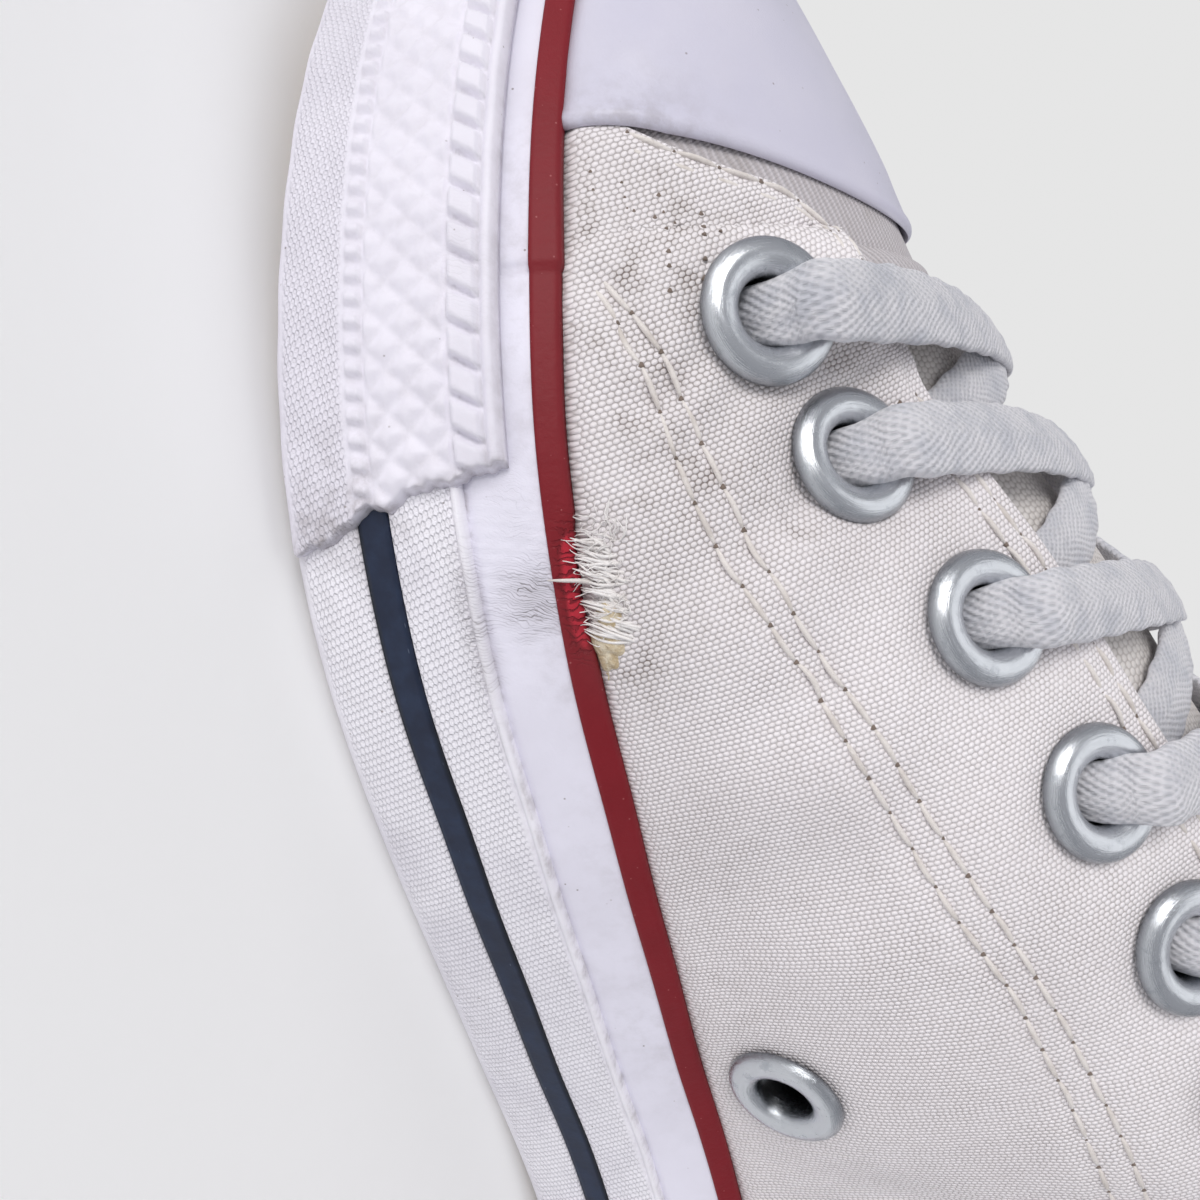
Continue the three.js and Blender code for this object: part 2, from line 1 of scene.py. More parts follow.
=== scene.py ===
import bmesh
import bpy
import numpy as np
from mathutils import Matrix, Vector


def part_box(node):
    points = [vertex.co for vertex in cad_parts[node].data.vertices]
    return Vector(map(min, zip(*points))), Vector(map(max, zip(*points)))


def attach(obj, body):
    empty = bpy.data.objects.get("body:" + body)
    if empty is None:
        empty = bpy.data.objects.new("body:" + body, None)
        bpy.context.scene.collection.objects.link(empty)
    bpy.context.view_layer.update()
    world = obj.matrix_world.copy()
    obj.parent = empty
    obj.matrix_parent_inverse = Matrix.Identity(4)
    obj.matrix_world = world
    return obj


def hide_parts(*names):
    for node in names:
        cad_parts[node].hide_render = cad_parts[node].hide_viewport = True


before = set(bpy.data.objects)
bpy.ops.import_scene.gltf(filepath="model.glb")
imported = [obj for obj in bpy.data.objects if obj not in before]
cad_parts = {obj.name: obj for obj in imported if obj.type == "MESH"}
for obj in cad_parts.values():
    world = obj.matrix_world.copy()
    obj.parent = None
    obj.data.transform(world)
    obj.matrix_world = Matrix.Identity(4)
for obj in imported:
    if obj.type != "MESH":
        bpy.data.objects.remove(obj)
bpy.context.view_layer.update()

# ---- the last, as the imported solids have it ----
STATIONS = np.array([
    (-139.5, 0), (-132, 20.5), (-112, 31), (-87.5, 32.5), (-59, 30.5), (-30.5, 28),
    (-5, 29), (21, 35.5), (45.5, 42.5), (71, 45.5), (96.5, 39.0), (119, 24),
    (132.5, -2), (123, -29.5), (101, -44.5), (76, -50.5), (49.5, -52.5), (21, -51),
    (-5, -46.5), (-30.5, -42), (-59, -38), (-87.5, -34.5), (-112, -32), (-132, -20)])
ROUND = 24
MM = 0.001
LINING_OUT, LINING_IN = -0.6, -2.0
VAMP_THICK = 0.55
PANEL_LIFT = 0.8
BUMPER_LIFT = 0.85
CAP_REAR, CAP_CURVE = 88.8, 0.0085
THROAT_ROUND = 9.2
THROAT_END = 9.75
POLE = 10.6
RIDGE_X, RIDGE_Z, RIDGE_SLOPE = 84.5, 53.8, -0.36
UPPER_INSET = 3.9
CANVAS_START = 24.3
TOP_X = [(-1, -125), (0, -132), (1, -125), (2, -105), (3, -80), (4, -54), (5, -26), (5.7, -9),
         (6.3, 5), (7.3, 31), (8.3, 58), (9.2, 78.5), (9.75, 84.5), (10.6, 99)]
TOP_Z = [(-1, 71), (0, 74), (1, 71), (2, 62), (3, 55), (4, 58), (5, 75), (5.6, 87.5),
         (6.3, 82.5), (7.3, 72), (8.3, 59.5), (9.2, 49.5), (9.75, 53.8), (10.6, 48.5)]
TOP_W = [(-1, -21), (0, 0), (1, 21), (2, 31), (3, 34), (4, 32.5), (5, 28), (5.7, 25.5),
         (6.3, 24.5), (7.3, 23.5), (8.3, 22.5), (9.2, 21.5), (9.75, 20), (10.6, 20)]
CENTRE_Y = [(-140, 0), (-60, -1.5), (0, 1), (60, 3.5), (99, 3)]
TOP_FALL = [(0, 88), (4.5, 84), (5.6, 70), (6.3, 60), (7.3, 46), (8.3, 38), (9.2, 32), (9.75, 0)]
RISE = [(0, 0.40), (3, 0.40), (6, 0.35), (8, 0.34), (9.5, 0.24), (10.6, 0.36), (12, 0.45)]
BULGE = [(0, 3), (3, 3), (5, 5), (6, 7), (7, 6), (8, 4), (9.5, 0.8), (10.6, 1), (12, 0.8)]
FULL = [(0, 0.30), (4, 0.34), (6, 0.42), (8, 0.42), (9.5, 0.38), (10.6, 0.5), (12, 0.55)]
SIDE_FACE = np.array([(1.0, 0.8), (0.25, 2.0), (0, 4.2), (0, 9.7), (0.4, 15.6), (1.4, 21.7), (2.2, 24.0)])
EYELET_V = [9.44, 8.86, 8.29, 7.70, 7.15, 6.63, 6.12]
EYELET_DOWN = [18.6, 11.0, 10.0, 9.5, 9.3, 9.2, 9.2]
VENTS = [(6.61, 0.14), (5.74, 0.15)]


def closed_controls(points):
    """Control points of the closed cubic B-spline through the points: 1/6, 4/6, 1/6 of neighbours."""
    n = len(points)
    weights = np.eye(n) * 4 + np.roll(np.eye(n), 1, 0) + np.roll(np.eye(n), -1, 0)
    return np.linalg.solve(weights / 6, points)


CONTROLS = closed_controls(STATIONS)


def from_heel(u):
    """Stations from the heel to station u, the same on both sides of the shoe."""
    u = np.asarray(u, float) % ROUND
    return np.minimum(u, ROUND - u)


def unit(a):
    """Vectors at length one."""
    return a / np.maximum(np.linalg.norm(a, axis=-1, keepdims=True), 1e-9)


def arc_length(points):
    """Length run along a line of points, from the first to each of them."""
    return np.concatenate([[0], np.cumsum(np.linalg.norm(np.diff(points, axis=0), axis=1))])


def hump(value, middle, reach):
    """Bell curve, 1 at the middle: e to the minus square of the distance over the reach."""
    return np.exp(-((value - middle) / reach) ** 2)


def ramp(value, start, span):
    """How far value lies past start as a share of span, held from 0 to 1."""
    return np.clip((value - start) / span, 0, 1)


def rounded(share):
    """Quarter circle: height of a rolled edge at a share, 0 to 1, of its width."""
    return np.sqrt(np.clip(1 - (1 - share) ** 2, 0, 1))


def ring(u):
    """Sole outline at station u, a uniform cubic B-spline with one span a station."""
    u = np.asarray(u, float) % ROUND
    i = np.floor(u).astype(int)
    f = u - i
    w = [(1 - f) ** 3 / 6, (3 * f ** 3 - 6 * f * f + 4) / 6,
         (-3 * f ** 3 + 3 * f * f + 3 * f + 1) / 6, f ** 3 / 6]
    return sum(w[k][..., None] * CONTROLS[(i - 1 + k) % ROUND] for k in range(4))


def ring_out(u):
    """Unit vector out of the outline: its tangent turned a quarter turn."""
    d = ring(np.asarray(u) + 1e-3) - ring(np.asarray(u) - 1e-3)
    n = np.stack([-d[..., 1], d[..., 0]], -1)
    return unit(n)


def through(keys, v):
    """Smooth curve through (place, value) keys: cubic Hermite, slopes weighted by the spans, flat ends."""
    keys = np.array(keys, float)
    x, y = keys[:, 0], keys[:, 1]
    d = np.diff(y) / np.diff(x)
    h = np.diff(x)
    m = np.zeros(len(x))
    m[1:-1] = (d[:-1] * h[1:] + d[1:] * h[:-1]) / (h[:-1] + h[1:])
    v = np.clip(np.asarray(v, float), x[0], x[-1])
    i = np.clip(np.searchsorted(x, v, side="right") - 1, 0, len(x) - 2)
    f = (v - x[i]) / h[i]
    return ((2 * f ** 3 - 3 * f ** 2 + 1) * y[i] + (f ** 3 - 2 * f ** 2 + f) * h[i] * m[i]
            + (3 * f ** 2 - 2 * f ** 3) * y[i + 1] + (f ** 3 - f ** 2) * h[i] * m[i + 1])


def sole_level(x):
    """Lift of the sole's underside: a square law to the toe tip and a low hump under the arch."""
    q = np.clip((x - 45) / 92, 0, None)
    a = np.clip(1 - ((x + 28) / 42) ** 2, 0, None)
    return 7.3 * q ** 2 + 1.6 * a * a


def side_point(u, inset, height):
    """Point of the sole's side: in from the outline by inset, up from the sole level by height."""
    u, inset, height = np.broadcast_arrays(np.asarray(u, float), inset, height)
    p = ring(u) - inset[..., None] * ring_out(u)
    return np.concatenate([p, (sole_level(p[..., 0]) + height)[..., None]], -1)


def top_point(u):
    """Collar, throat edge or ridge at station u: height and half width by keys, mirrored."""
    u = np.asarray(u, float) % ROUND
    v = from_heel(u)
    x = through(TOP_X, v)
    z = np.where(v < THROAT_END, through(TOP_Z, v), RIDGE_Z + RIDGE_SLOPE * (x - RIDGE_X))
    q = ramp(v, THROAT_ROUND, THROAT_END - THROAT_ROUND)
    w = through(TOP_W, v) * np.sqrt(np.clip(1 - q * q, 0, 1))
    return np.stack([x, through(CENTRE_Y, x) + np.where(u <= 12, w, -w), z], -1)


def canvas(u, t):
    """Outer face of the upper: a cubic Bezier from the side wall (t 0) to the top edge (t 1)."""
    u, t = np.broadcast_arrays(np.asarray(u, float), np.asarray(t, float))
    v = from_heel(u)
    foot = side_point(u, UPPER_INSET, CANVAS_START)
    top = top_point(u)
    out = ring_out(u)
    high = top[..., 2] - foot[..., 2]
    low = foot.copy()
    low[..., :2] += out * through(BULGE, v)[..., None]
    low[..., 2] += through(RISE, v) * high
    d = foot[..., :2] - top[..., :2]
    flat = np.linalg.norm(d, axis=-1)
    d = d / np.maximum(flat, 1e-6)[..., None]
    near = ramp(5, v, 1.5)[..., None]
    d = d * (1 - near) + out * near
    d = d / np.linalg.norm(d, axis=-1, keepdims=True)
    fall = np.radians(through(TOP_FALL, v))
    on_ridge = ramp(v, THROAT_ROUND, THROAT_END - THROAT_ROUND)
    along = np.concatenate([d * np.cos(fall)[..., None],
                            (RIDGE_SLOPE * on_ridge * d[..., 0] - np.sin(fall))[..., None]], -1)
    high_point = top + along * (through(FULL, v) * np.hypot(flat, high))[..., None]
    t = t[..., None]
    s = 1 - t
    return s ** 3 * foot + 3 * s * s * t * low + 3 * s * t * t * high_point + t ** 3 * top


def canvas_out(u, t):
    """Outward normal of the upper: cross product of its two tangents, upright across the ridge."""
    u, t = np.broadcast_arrays(np.asarray(u, float), np.asarray(t, float))
    e = 1e-3
    tt = np.clip(t, e, 1 - e)
    n = unit(np.cross(canvas(u, tt + e) - canvas(u, tt - e), canvas(u + e, t) - canvas(u - e, t)))
    v = from_heel(u)
    ridge = (t > 0.999) & (v >= THROAT_END - 1e-6)
    return np.where(ridge[..., None], unit(np.array([-RIDGE_SLOPE, 0.0, 1.0])), n)


def laid_flat(u, t):
    """Cloth coordinates in mm: x along the shoe, which round the heel becomes arc length from
    station 3.5, and the arc length up the wall; both arcs are summed in short steps."""
    u, t = np.broadcast_arrays(np.asarray(u, float), np.asarray(t, float))
    p = canvas(u[..., None], t[..., None] * np.linspace(0, 1, 25))
    arc = np.linalg.norm(np.diff(p, axis=-2), axis=-1).sum(-1)
    v = from_heel(u)
    turn = canvas(np.maximum(3.5 - v, 0)[..., None] * np.linspace(0, 1, 13) + v[..., None], t[..., None])
    round_heel = np.linalg.norm(np.diff(turn[..., :2], axis=-2), axis=-1).sum(-1)
    return np.stack([turn[..., -1, 0] - round_heel, arc], -1)


# creases of the worn cloth: side (1 inner, -1 outer, 0 both), x and height up the wall where each
# begins, the same where it ends, half width and depth
CREASES = [
    (1, 76.5, 14.5, 79.5, 28, 1.1, 0.34), (1, 74.0, 16.5, 77.2, 29, 1.2, 0.34),
    (1, 71.5, 4, 76, 15, 1.5, 0.40), (1, 77, 2, 79, 12, 1.3, 0.30),
    (1, 69, 5, 72, 14, 1.4, 0.32), (1, 66, 12, 69, 20, 1.4, 0.25),
    (1, 63, 3, 74, 26, 3.2, 0.55), (1, 50, 6, 58, 24, 4.0, 0.45), (1, 34, 4, 44, 30, 5.0, 0.5),
    (1, 82, 12, 76, 24, 2.4, 0.35), (1, -8, 6, 8, 40, 7.0, 0.6), (1, -40, 8, -18, 34, 6.0, 0.7),
    (1, -96, 14, -60, 20, 5.0, 0.7), (1, -112, 26, -84, 30, 4.0, 0.5),
    (-1, 62, 3, 76, 28, 3.4, 0.8), (-1, 52, 4, 62, 30, 3.0, 0.6), (-1, 38, 6, 50, 34, 4.5, 0.7),
    (-1, 14, 8, 30, 38, 6.0, 0.6), (-1, -36, 8, -14, 36, 6.0, 0.8), (-1, -98, 12, -62, 22, 5.0, 0.8),
    (-1, -112, 28, -88, 30, 4.0, 0.6), (0, -136, 30, -124, 32, 4.0, 0.5)]


def slack(u, t):
    """Offset of worn cloth along its normal: each crease is a soft trough between two low ridges."""
    flat = laid_flat(u, t)
    side = np.where(np.broadcast_to(u, flat.shape[:-1]) % ROUND <= 12, 1, -1)
    sag = 0.22 * np.sin(flat[..., 0] * 0.11 + side) * np.sin(flat[..., 1] * 0.16 + 0.7)
    sag += 0.10 * np.sin(flat[..., 0] * 0.31 + 2 * side) * np.sin(flat[..., 1] * 0.27 + 1.3)
    for which, x0, h0, x1, h1, half, depth in CREASES:
        a = np.array([x0, h0], float)
        d = np.array([x1 - x0, h1 - h0], float)
        long = np.linalg.norm(d)
        d = d / long
        r = flat - a
        s = r @ d / long
        q = (r[..., 0] * d[1] - r[..., 1] * d[0]) + 1.2 * np.sin(s * 5)
        ends = np.clip(1.3 - np.abs(2 * s - 1), 0, 1) ** 1.5
        shape = -np.exp(-(q / half) ** 2) + 0.45 * np.exp(-((np.abs(q) - 1.9 * half) / half) ** 2)
        sag = sag + depth * shape * ends * ((side == which) | (which == 0))
    free = np.clip(np.asarray(t) * 8, 0, 1)
    return sag * free


def skin(u, t, out):
    """Point of the upper, lifted off its outer face by out, creases included."""
    u, t = np.broadcast_arrays(np.asarray(u, float), np.asarray(t, float))
    return canvas(u, t) + canvas_out(u, t) * (slack(u, t) + out)[..., None]


def down_from_edge(u, reach):
    """Station t that lies reach mm below the top edge, by the arc length of 240 steps."""
    t = np.linspace(1, 0, 241)
    p = canvas(np.full(241, u), t)
    arc = arc_length(p)
    return float(np.interp(reach, arc, t))


HOLES = [(v, down_from_edge(v, d)) for v, d in zip(EYELET_V, EYELET_DOWN)]
HOLES += [(ROUND - v, down_from_edge(ROUND - v, d)) for v, d in zip(EYELET_V, EYELET_DOWN)]
HOLES += VENTS
HOLE_CENTRES = np.array([canvas(u, t) for u, t in HOLES])

rings_64 = side_point(np.arange(64) * 0.375, 0, 4.2)
wall_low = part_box("foxing")[0]
SHIFT = np.array([wall_low.x * 1000 - rings_64[:, 0].min(), wall_low.y * 1000 - rings_64[:, 1].min(), 0.0])


# ---- camera, light and floor ----
def stand(thing, right, up, back, place):
    """Puts a camera or lamp in the scene: its three axes and its place in metres."""
    bpy.context.collection.objects.link(thing)
    turned = np.eye(4)
    turned[:3] = np.stack([right, up, back, place], -1)
    thing.matrix_world = Matrix(turned.tolist())


def stand_camera():
    """Camera close over the inner forefoot, low and rolled so that the toe points up."""
    data = bpy.data.cameras.new("camera")
    data.lens = 27.15
    data.sensor_width = 36
    data.clip_start = 0.005
    camera = bpy.data.objects.new("camera", data)
    right = unit(np.array([-0.161, -0.241, 0.957]))
    up = np.array([0.970, -0.219, 0.108])
    up = unit(up - right * (up @ right))
    stand(camera, right, up, np.cross(right, up), (np.array([75.2, 107.7, 43.3]) + SHIFT) * MM)
    bpy.context.scene.camera = camera


stand_camera()
bpy.context.scene.view_settings.view_transform = "Standard"


def light(name, place, target, size, watts, colour=(1, 1, 1)):
    """Square soft light at place, facing target, both in metres."""
    data = bpy.data.lights.new(name, "AREA")
    data.size = size
    data.energy = watts
    data.color = colour
    way = unit(np.array(place, float) - np.array(target, float))
    side = unit(np.cross([0, 0, 1.0], way))
    stand(bpy.data.objects.new(name, data), side, np.cross(way, side), way, place)


light("key_light", (0.75, 0.75, 0.42), (0.06, 0.02, 0.03), 0.5, 6.0, (1.0, 0.98, 0.96))
light("fill_light", (-0.7, -0.8, 0.8), (0, 0, 0.04), 0.9, 3.6)
light("top_light", (0.0, 0.1, 1.1), (0, 0, 0.03), 0.9, 1.8)


def pale_world():
    """Even pale surroundings, brighter to the eye than as a light."""
    world = bpy.data.worlds.new("pale_room")
    bpy.context.scene.world = world
    world.use_nodes = True
    nodes, links = world.node_tree.nodes, world.node_tree.links
    ground = nodes["Background"]
    path = nodes.new("ShaderNodeLightPath")
    mix = nodes.new("ShaderNodeMix")
    mix.data_type = "RGBA"
    mix.inputs[6].default_value = (0.40, 0.405, 0.43, 1)
    mix.inputs[7].default_value = (0.79, 0.79, 0.79, 1)
    links.new(path.outputs["Is Camera Ray"], mix.inputs[0])
    links.new(mix.outputs[2], ground.inputs["Color"])


pale_world()


# ---- finishes: a small language for shader nodes ----
class Socket:
    """One output in a finish; arithmetic on it adds Math nodes."""

    def __init__(self, finish, out):
        self.finish = finish
        self.out = out

    def __add__(self, other):
        return self.finish.math("ADD", self, other)

    __radd__ = __add__

    def __sub__(self, other):
        return self.finish.math("SUBTRACT", self, other)

    def __rsub__(self, other):
        return self.finish.math("SUBTRACT", other, self)

    def __mul__(self, other):
        return self.finish.math("MULTIPLY", self, other)

    __rmul__ = __mul__

    def __truediv__(self, other):
        return self.finish.math("DIVIDE", self, other)

    def __rtruediv__(self, other):
        return self.finish.math("DIVIDE", other, self)

    def __pow__(self, other):
        return self.finish.math("POWER", self, other)


def tint(red, green, blue):
    """Linear colour from display values of 0 to 255."""
    c = np.array([red, green, blue]) / 255
    c = np.where(c <= 0.04045, c / 12.92, ((c + 0.055) / 1.055) ** 2.4)
    return (float(c[0]), float(c[1]), float(c[2]), 1.0)


class Finish:
    """A material in the making. Every node but the arithmetic comes from node()."""

    def __init__(self, name):
        self.material = bpy.data.materials.new(name)
        self.material.use_nodes = True
        self.tree = self.material.node_tree
        self.tree.nodes.clear()

    def node(self, kind, settings=None, inputs=None, out=0):
        made = self.tree.nodes.new(kind)
        for key, value in (settings or {}).items():
            if key == "stops":
                ramp = made.color_ramp
                while len(ramp.elements) < len(value):
                    ramp.elements.new(1.0)
                for element, (place, colour) in zip(ramp.elements, value):
                    element.position = place
                    element.color = colour
            else:
                setattr(made, key, value)
        for key, value in (inputs or {}).items():
            if isinstance(value, Socket):
                self.tree.links.new(value.out, made.inputs[key])
            else:
                made.inputs[key].default_value = value
        return Socket(self, made.outputs[out]) if made.outputs else None

    def math(self, operation, *values):
        return self.node("ShaderNodeMath", {"operation": operation}, dict(enumerate(values)))

    def place(self):
        """Object coordinates in millimetres."""
        here = self.node("ShaderNodeTexCoord", out="Object")
        return self.scaled(here, 1000.0)

    def cloth(self):
        """Cloth coordinates of the piece in millimetres."""
        here = self.node("ShaderNodeUVMap", {"uv_map": "cloth"})
        return self.scaled(here, 100.0)

    def scaled(self, vector, by):
        return self.node("ShaderNodeVectorMath", {"operation": "SCALE"}, {0: vector, "Scale": by})

    def stretched(self, vector, x, y, z):
        """Coordinates stretched by a factor on each axis."""
        return self.node("ShaderNodeMapping", None, {0: vector, "Scale": (x, y, z)})

    def sine(self, value):
        return self.math("SINE", value)

    def split(self, vector):
        made = self.node("ShaderNodeSeparateXYZ", None, {0: vector})
        node = made.out.node
        return [Socket(self, node.outputs[k]) for k in range(3)]

    def join(self, x, y, z=0.0):
        return self.node("ShaderNodeCombineXYZ", None, {0: x, 1: y, 2: z})

    def noise(self, where, scale, detail=2.0, rough=0.5, distort=0.0):
        return self.node("ShaderNodeTexNoise", None, {
            "Vector": where, "Scale": scale, "Detail": detail, "Roughness": rough, "Distortion": distort})

    def cells(self, where, scale, feature="F1", spread=1.0):
        return self.node("ShaderNodeTexVoronoi", {"feature": feature},
                         {"Vector": where, "Scale": scale, "Randomness": spread})

    def field(self, name):
        return self.node("ShaderNodeAttribute", {"attribute_name": name}, out="Fac")

    def band(self, value, low, high):
        """0 below low, 1 above high, smooth between; falls instead when low is above high."""
        return self.node("ShaderNodeMapRange", {"interpolation_type": "SMOOTHSTEP", "clamp": True},
                         {"Value": value, "From Min": low, "From Max": high})

    def mix(self, share, first, second):
        return self.node("ShaderNodeMix", {"data_type": "RGBA"}, {0: share, 6: first, 7: second}, out=2)

    def bump(self, height, depth, under=None):
        """Bump of depth metres for a height from 0 to 1."""
        inputs = {"Height": height, "Distance": depth, "Strength": 1.0}
        if under is not None:
            inputs["Normal"] = under
        return self.node("ShaderNodeBump", None, inputs)

    def done(self, colour, rough, normal=None, **fixed):
        """Principled shader and output; fixed holds constant sockets by name."""
        inputs = {"Base Color": colour, "Roughness": rough}
        if normal is not None:
            inputs["Normal"] = normal
        inputs.update({key.replace("_", " "): value for key, value in fixed.items()})
        shader = self.node("ShaderNodeBsdfPrincipled", None, inputs)
        self.node("ShaderNodeOutputMaterial", None, {0: shader})
        return self.material


def knots(f, cloth, across, along, turn, waver=0.25):
    """Height of a plain weave: rows of rounded knots, every second row moved half a knot.
    Knot height is 1 minus the squares of the distances from its middle."""
    x, y, _ = f.split(cloth)
    wave = f.noise(cloth, 0.16, 2.0) - 0.5
    c, s = float(np.cos(turn)), float(np.sin(turn))
    a = (x * s + y * c + wave * waver) / across
    b = (x * c - y * s + wave * (waver * 1.6)) / along
    row = f.math("FLOOR", b)
    stagger = f.node("ShaderNodeTexWhiteNoise", {"noise_dimensions": "1D"}, {"W": row})
    shift = f.math("MODULO", row, 2.0) * 0.5 + stagger * 0.30
    fa = f.math("FRACT", a + shift) - 0.5
    fb = f.math("FRACT", b) - 0.5
    bead = 1.0 - (fa * fa) * 3.6 - (fb * fb) * 3.2
    cell = f.node("ShaderNodeTexWhiteNoise", {"noise_dimensions": "2D"},
                  {"Vector": f.join(f.math("FLOOR", a + shift), row)})
    return f.math("MAXIMUM", bead, 0.0), cell


def quarter_canvas(name, light_colour, gap_shade_and_dirt_colour, across=0.53, along=0.41, turn=0.20, depth=0.00016):
    """Worn cotton canvas: knotted weave, painted shade in the gaps between knots deepened by grey-brown
    dirt, soiled patches, loose fibres.
    """
    f = Finish(name)
    cloth, place = f.cloth(), f.place()
    soil = f.field("soil")
    bead, own = knots(f, cloth, across, along, turn)
    fibres = f.noise(f.stretched(cloth, 3.0, 9.0, 1.0), 1.0, 3.0, 0.6)
    patches = f.band(f.noise(place, 0.09, 4.0, 0.6), 0.44, 0.70)
    blots = f.band(f.noise(place, 0.35, 4.0, 0.65), 0.5, 0.75)
    dirt = f.math("MINIMUM", soil * (0.30 + blots * 0.8) + patches * 0.06, 1.0)
    # painted shade between the knots: the gaps always darken by a share, more with noise and dirt, towards
    # the gap colour
    gap = f.band(bead, 0.55, 0.02)
    gap = gap * (0.20 + f.noise(place, 0.8, 3.0) * 0.34 + dirt * 0.60 + patches * 0.10)
    base = f.mix(dirt * 0.38, light_colour, tint(158, 148, 140))
    base = f.mix(own * 0.14, base, tint(206, 196, 190))
    base = f.mix(f.band(f.noise(place, 0.05, 2.0), 0.40, 0.70) * 0.20, base, tint(216, 209, 212))
    base = f.mix(f.math("MINIMUM", gap, 1.0), base, gap_shade_and_dirt_colour)
    height = bead * 0.75 + fibres * 0.35 + own * 0.15
    normal = f.bump(height, depth)
    return f.done(base, 0.93, normal, Sheen_Weight=0.25, Sheen_Roughness=0.6, Specular_IOR_Level=0.2)


def vamp_cloth():
    """Finer ribbed cloth of the vamp, greyer, with narrow ribs up to the ridge; painted shade darkens the
    grooves between ribs.
    """
    f = Finish("ribbed vamp canvas")
    cloth, place = f.cloth(), f.place()
    x, y, _ = f.split(cloth)
    wave = f.noise(cloth, 0.25, 2.0) - 0.5
    rib = f.sine((x * 0.55 + y * 0.9 + wave * 0.8) * 9.5) * 0.5 + 0.5
    pick = f.sine((x * 0.9 - y * 0.5) * 17.0) * 0.5 + 0.5
    soil = f.field("soil")
    dirt = f.band(f.noise(place, 0.3, 4.0), 0.45, 0.8) * 0.25 + soil * 0.3
    # painted shade: the colour is darker in the rib grooves and lighter on the crests, following the rib
    # height
    base = f.mix(rib * 0.8, tint(184, 178, 180), tint(212, 207, 211))
    base = f.mix(dirt, base, tint(150, 142, 134))
    normal = f.bump(rib * 0.8 + pick * 0.35, 0.00016)
    return f.done(base, 0.93, normal, Sheen_Weight=0.2, Specular_IOR_Level=0.2)


def lining_cloth():
    """Thin cotton drill inside the shoe: slanting twill lines, kept dark as painted shade of the shoe's
    inside, rubbed patches darker still.
    """
    f = Finish("cotton lining")
    cloth, place = f.cloth(), f.place()
    x, y, _ = f.split(cloth)
    twill = f.sine((x + y + f.noise(cloth, 0.3) - 0.5) * 10.0) * 0.5 + 0.5
    rub = f.band(f.noise(place, 0.07, 4.0), 0.42, 0.72)
    # painted shade: the lining's warm grey is kept dark to stand for the shade inside the shoe; rub darkens
    # rubbed patches
    base = f.mix(rub * 0.5, tint(96, 92, 88), tint(70, 65, 60))
    base = f.mix(twill * 0.25, base, tint(88, 84, 80))
    return f.done(base, 0.95, f.bump(twill, 0.00012), Sheen_Weight=0.2, Specular_IOR_Level=0.2)


def insole_cloth():
    """Foot-side cloth of the insole: fine weave, kept dark as painted shade of the shoe's inside, painted
    shade in the weave's gaps, pressed dark where heel and toes stood.
    """
    f = Finish("insole cloth")
    cloth, place = f.cloth(), f.place()
    bead, own = knots(f, cloth, 1.1, 0.8, 0.0)
    worn = f.field("pressed")
    spots = f.band(f.noise(place, 0.25, 4.0), 0.5, 0.75)
    # painted shade: the base colours are kept dark to stand for the shade inside the shoe; worn marks darken
    # where heel and toes pressed
    base = f.mix(worn * 0.75, tint(84, 80, 78), tint(50, 46, 44))
    base = f.mix(spots * 0.3, base, tint(62, 57, 54))
    # painted shade in the gaps between the knots of the weave
    base = f.mix(f.band(bead, 0.5, 0.1) * 0.5, base, tint(52, 48, 46))
    return f.done(base, f.math("MINIMUM", 0.95 - worn * 0.2, 1.0), f.bump(bead + own * 0.2, 0.0002),
                  Specular_IOR_Level=0.25)


def rubber(name, colour, kind, rough=0.48, deep=tint(146, 138, 138)):
    """Vulcanised rubber. kind picks the moulded skin: woven lozenges when kind is woven, smooth otherwise.
    Dirt lies where the soil field is, painted shade in the low places of the woven moulding, thin cracks run
    over the bent zone."""
    f = Finish(name)
    cloth, place = f.cloth(), f.place()
    x, y, _ = f.split(cloth)
    soil, scar = f.field("soil"), f.field("scar")
    grain = f.noise(place, 4.5, 3.0, 0.6)
    cloud = f.noise(place, 0.12, 3.0)
    specks = f.band(f.cells(place, 0.55), 0.075, 0.035) * f.band(f.noise(place, 0.2), 0.5, 0.6)
    height = grain * 0.10
    low = 0.0
    if kind == "woven":
        ripple = (f.noise(cloth, 0.5) - 0.5) * 0.5
        p = (x * 0.83 + y * 0.55 + ripple) * 8.6
        q = (y * 0.95 - x * 0.30 + ripple) * 8.2
        lozenge = f.sine(p) * f.sine(q)
        weave = f.band(lozenge, -0.7, 0.5)
        height = height + weave * 0.60 * f.band(f.field("weave"), 0.2, 0.9)
        # painted shade: the low places between the lozenges darken evenly wherever the weave field is set
        low = (1.0 - weave) * f.field("weave") * 0.45
    lines = f.sine((x + y * 0.35 + (f.noise(cloth, 0.34, 3.0) - 0.5) * 3.0) * 17.0)
    fine = f.sine((x * 1.6 + y * 0.7 + (f.noise(cloth, 0.6, 3.0) - 0.5) * 2.2) * 16.0)
    broken = f.band(f.noise(f.stretched(cloth, 0.8, 0.35, 1.0), 1.0, 2.0),
                    0.42, 0.56)
    crack = f.band(lines, 0.72, 0.97) * broken + f.band(fine, 0.86, 0.99) * 0.5
    crack = f.math("MINIMUM", crack, 1.0) * scar
    smear = f.band(f.noise(place, 0.5, 5.0, 0.65), 0.38, 0.72)
    base = f.mix(f.band(cloud, 0.35, 0.7) * 0.30, colour, tint(216, 213, 224))
    # soil darkens as dirt, smeared; on the side strips and toe bumper it also carries painted shade; low
    # adds the hollows' painted shade
    base = f.mix(f.math("MINIMUM", soil * smear * 0.9 + low * 0.14, 1.0), base, deep)
    base = f.mix(scar * 0.30, base, deep)
    base = f.mix(crack * 0.80, base, tint(112, 100, 98))
    base = f.mix(specks * 0.7, base, tint(120, 106, 100))
    height = height - crack * 0.6
    shine = f.band(cloud, 0.3, 0.75) * 0.14 + soil * 0.2 + rough - 0.05
    return f.done(base, shine, f.bump(height, 0.00022), Specular_IOR_Level=0.42)


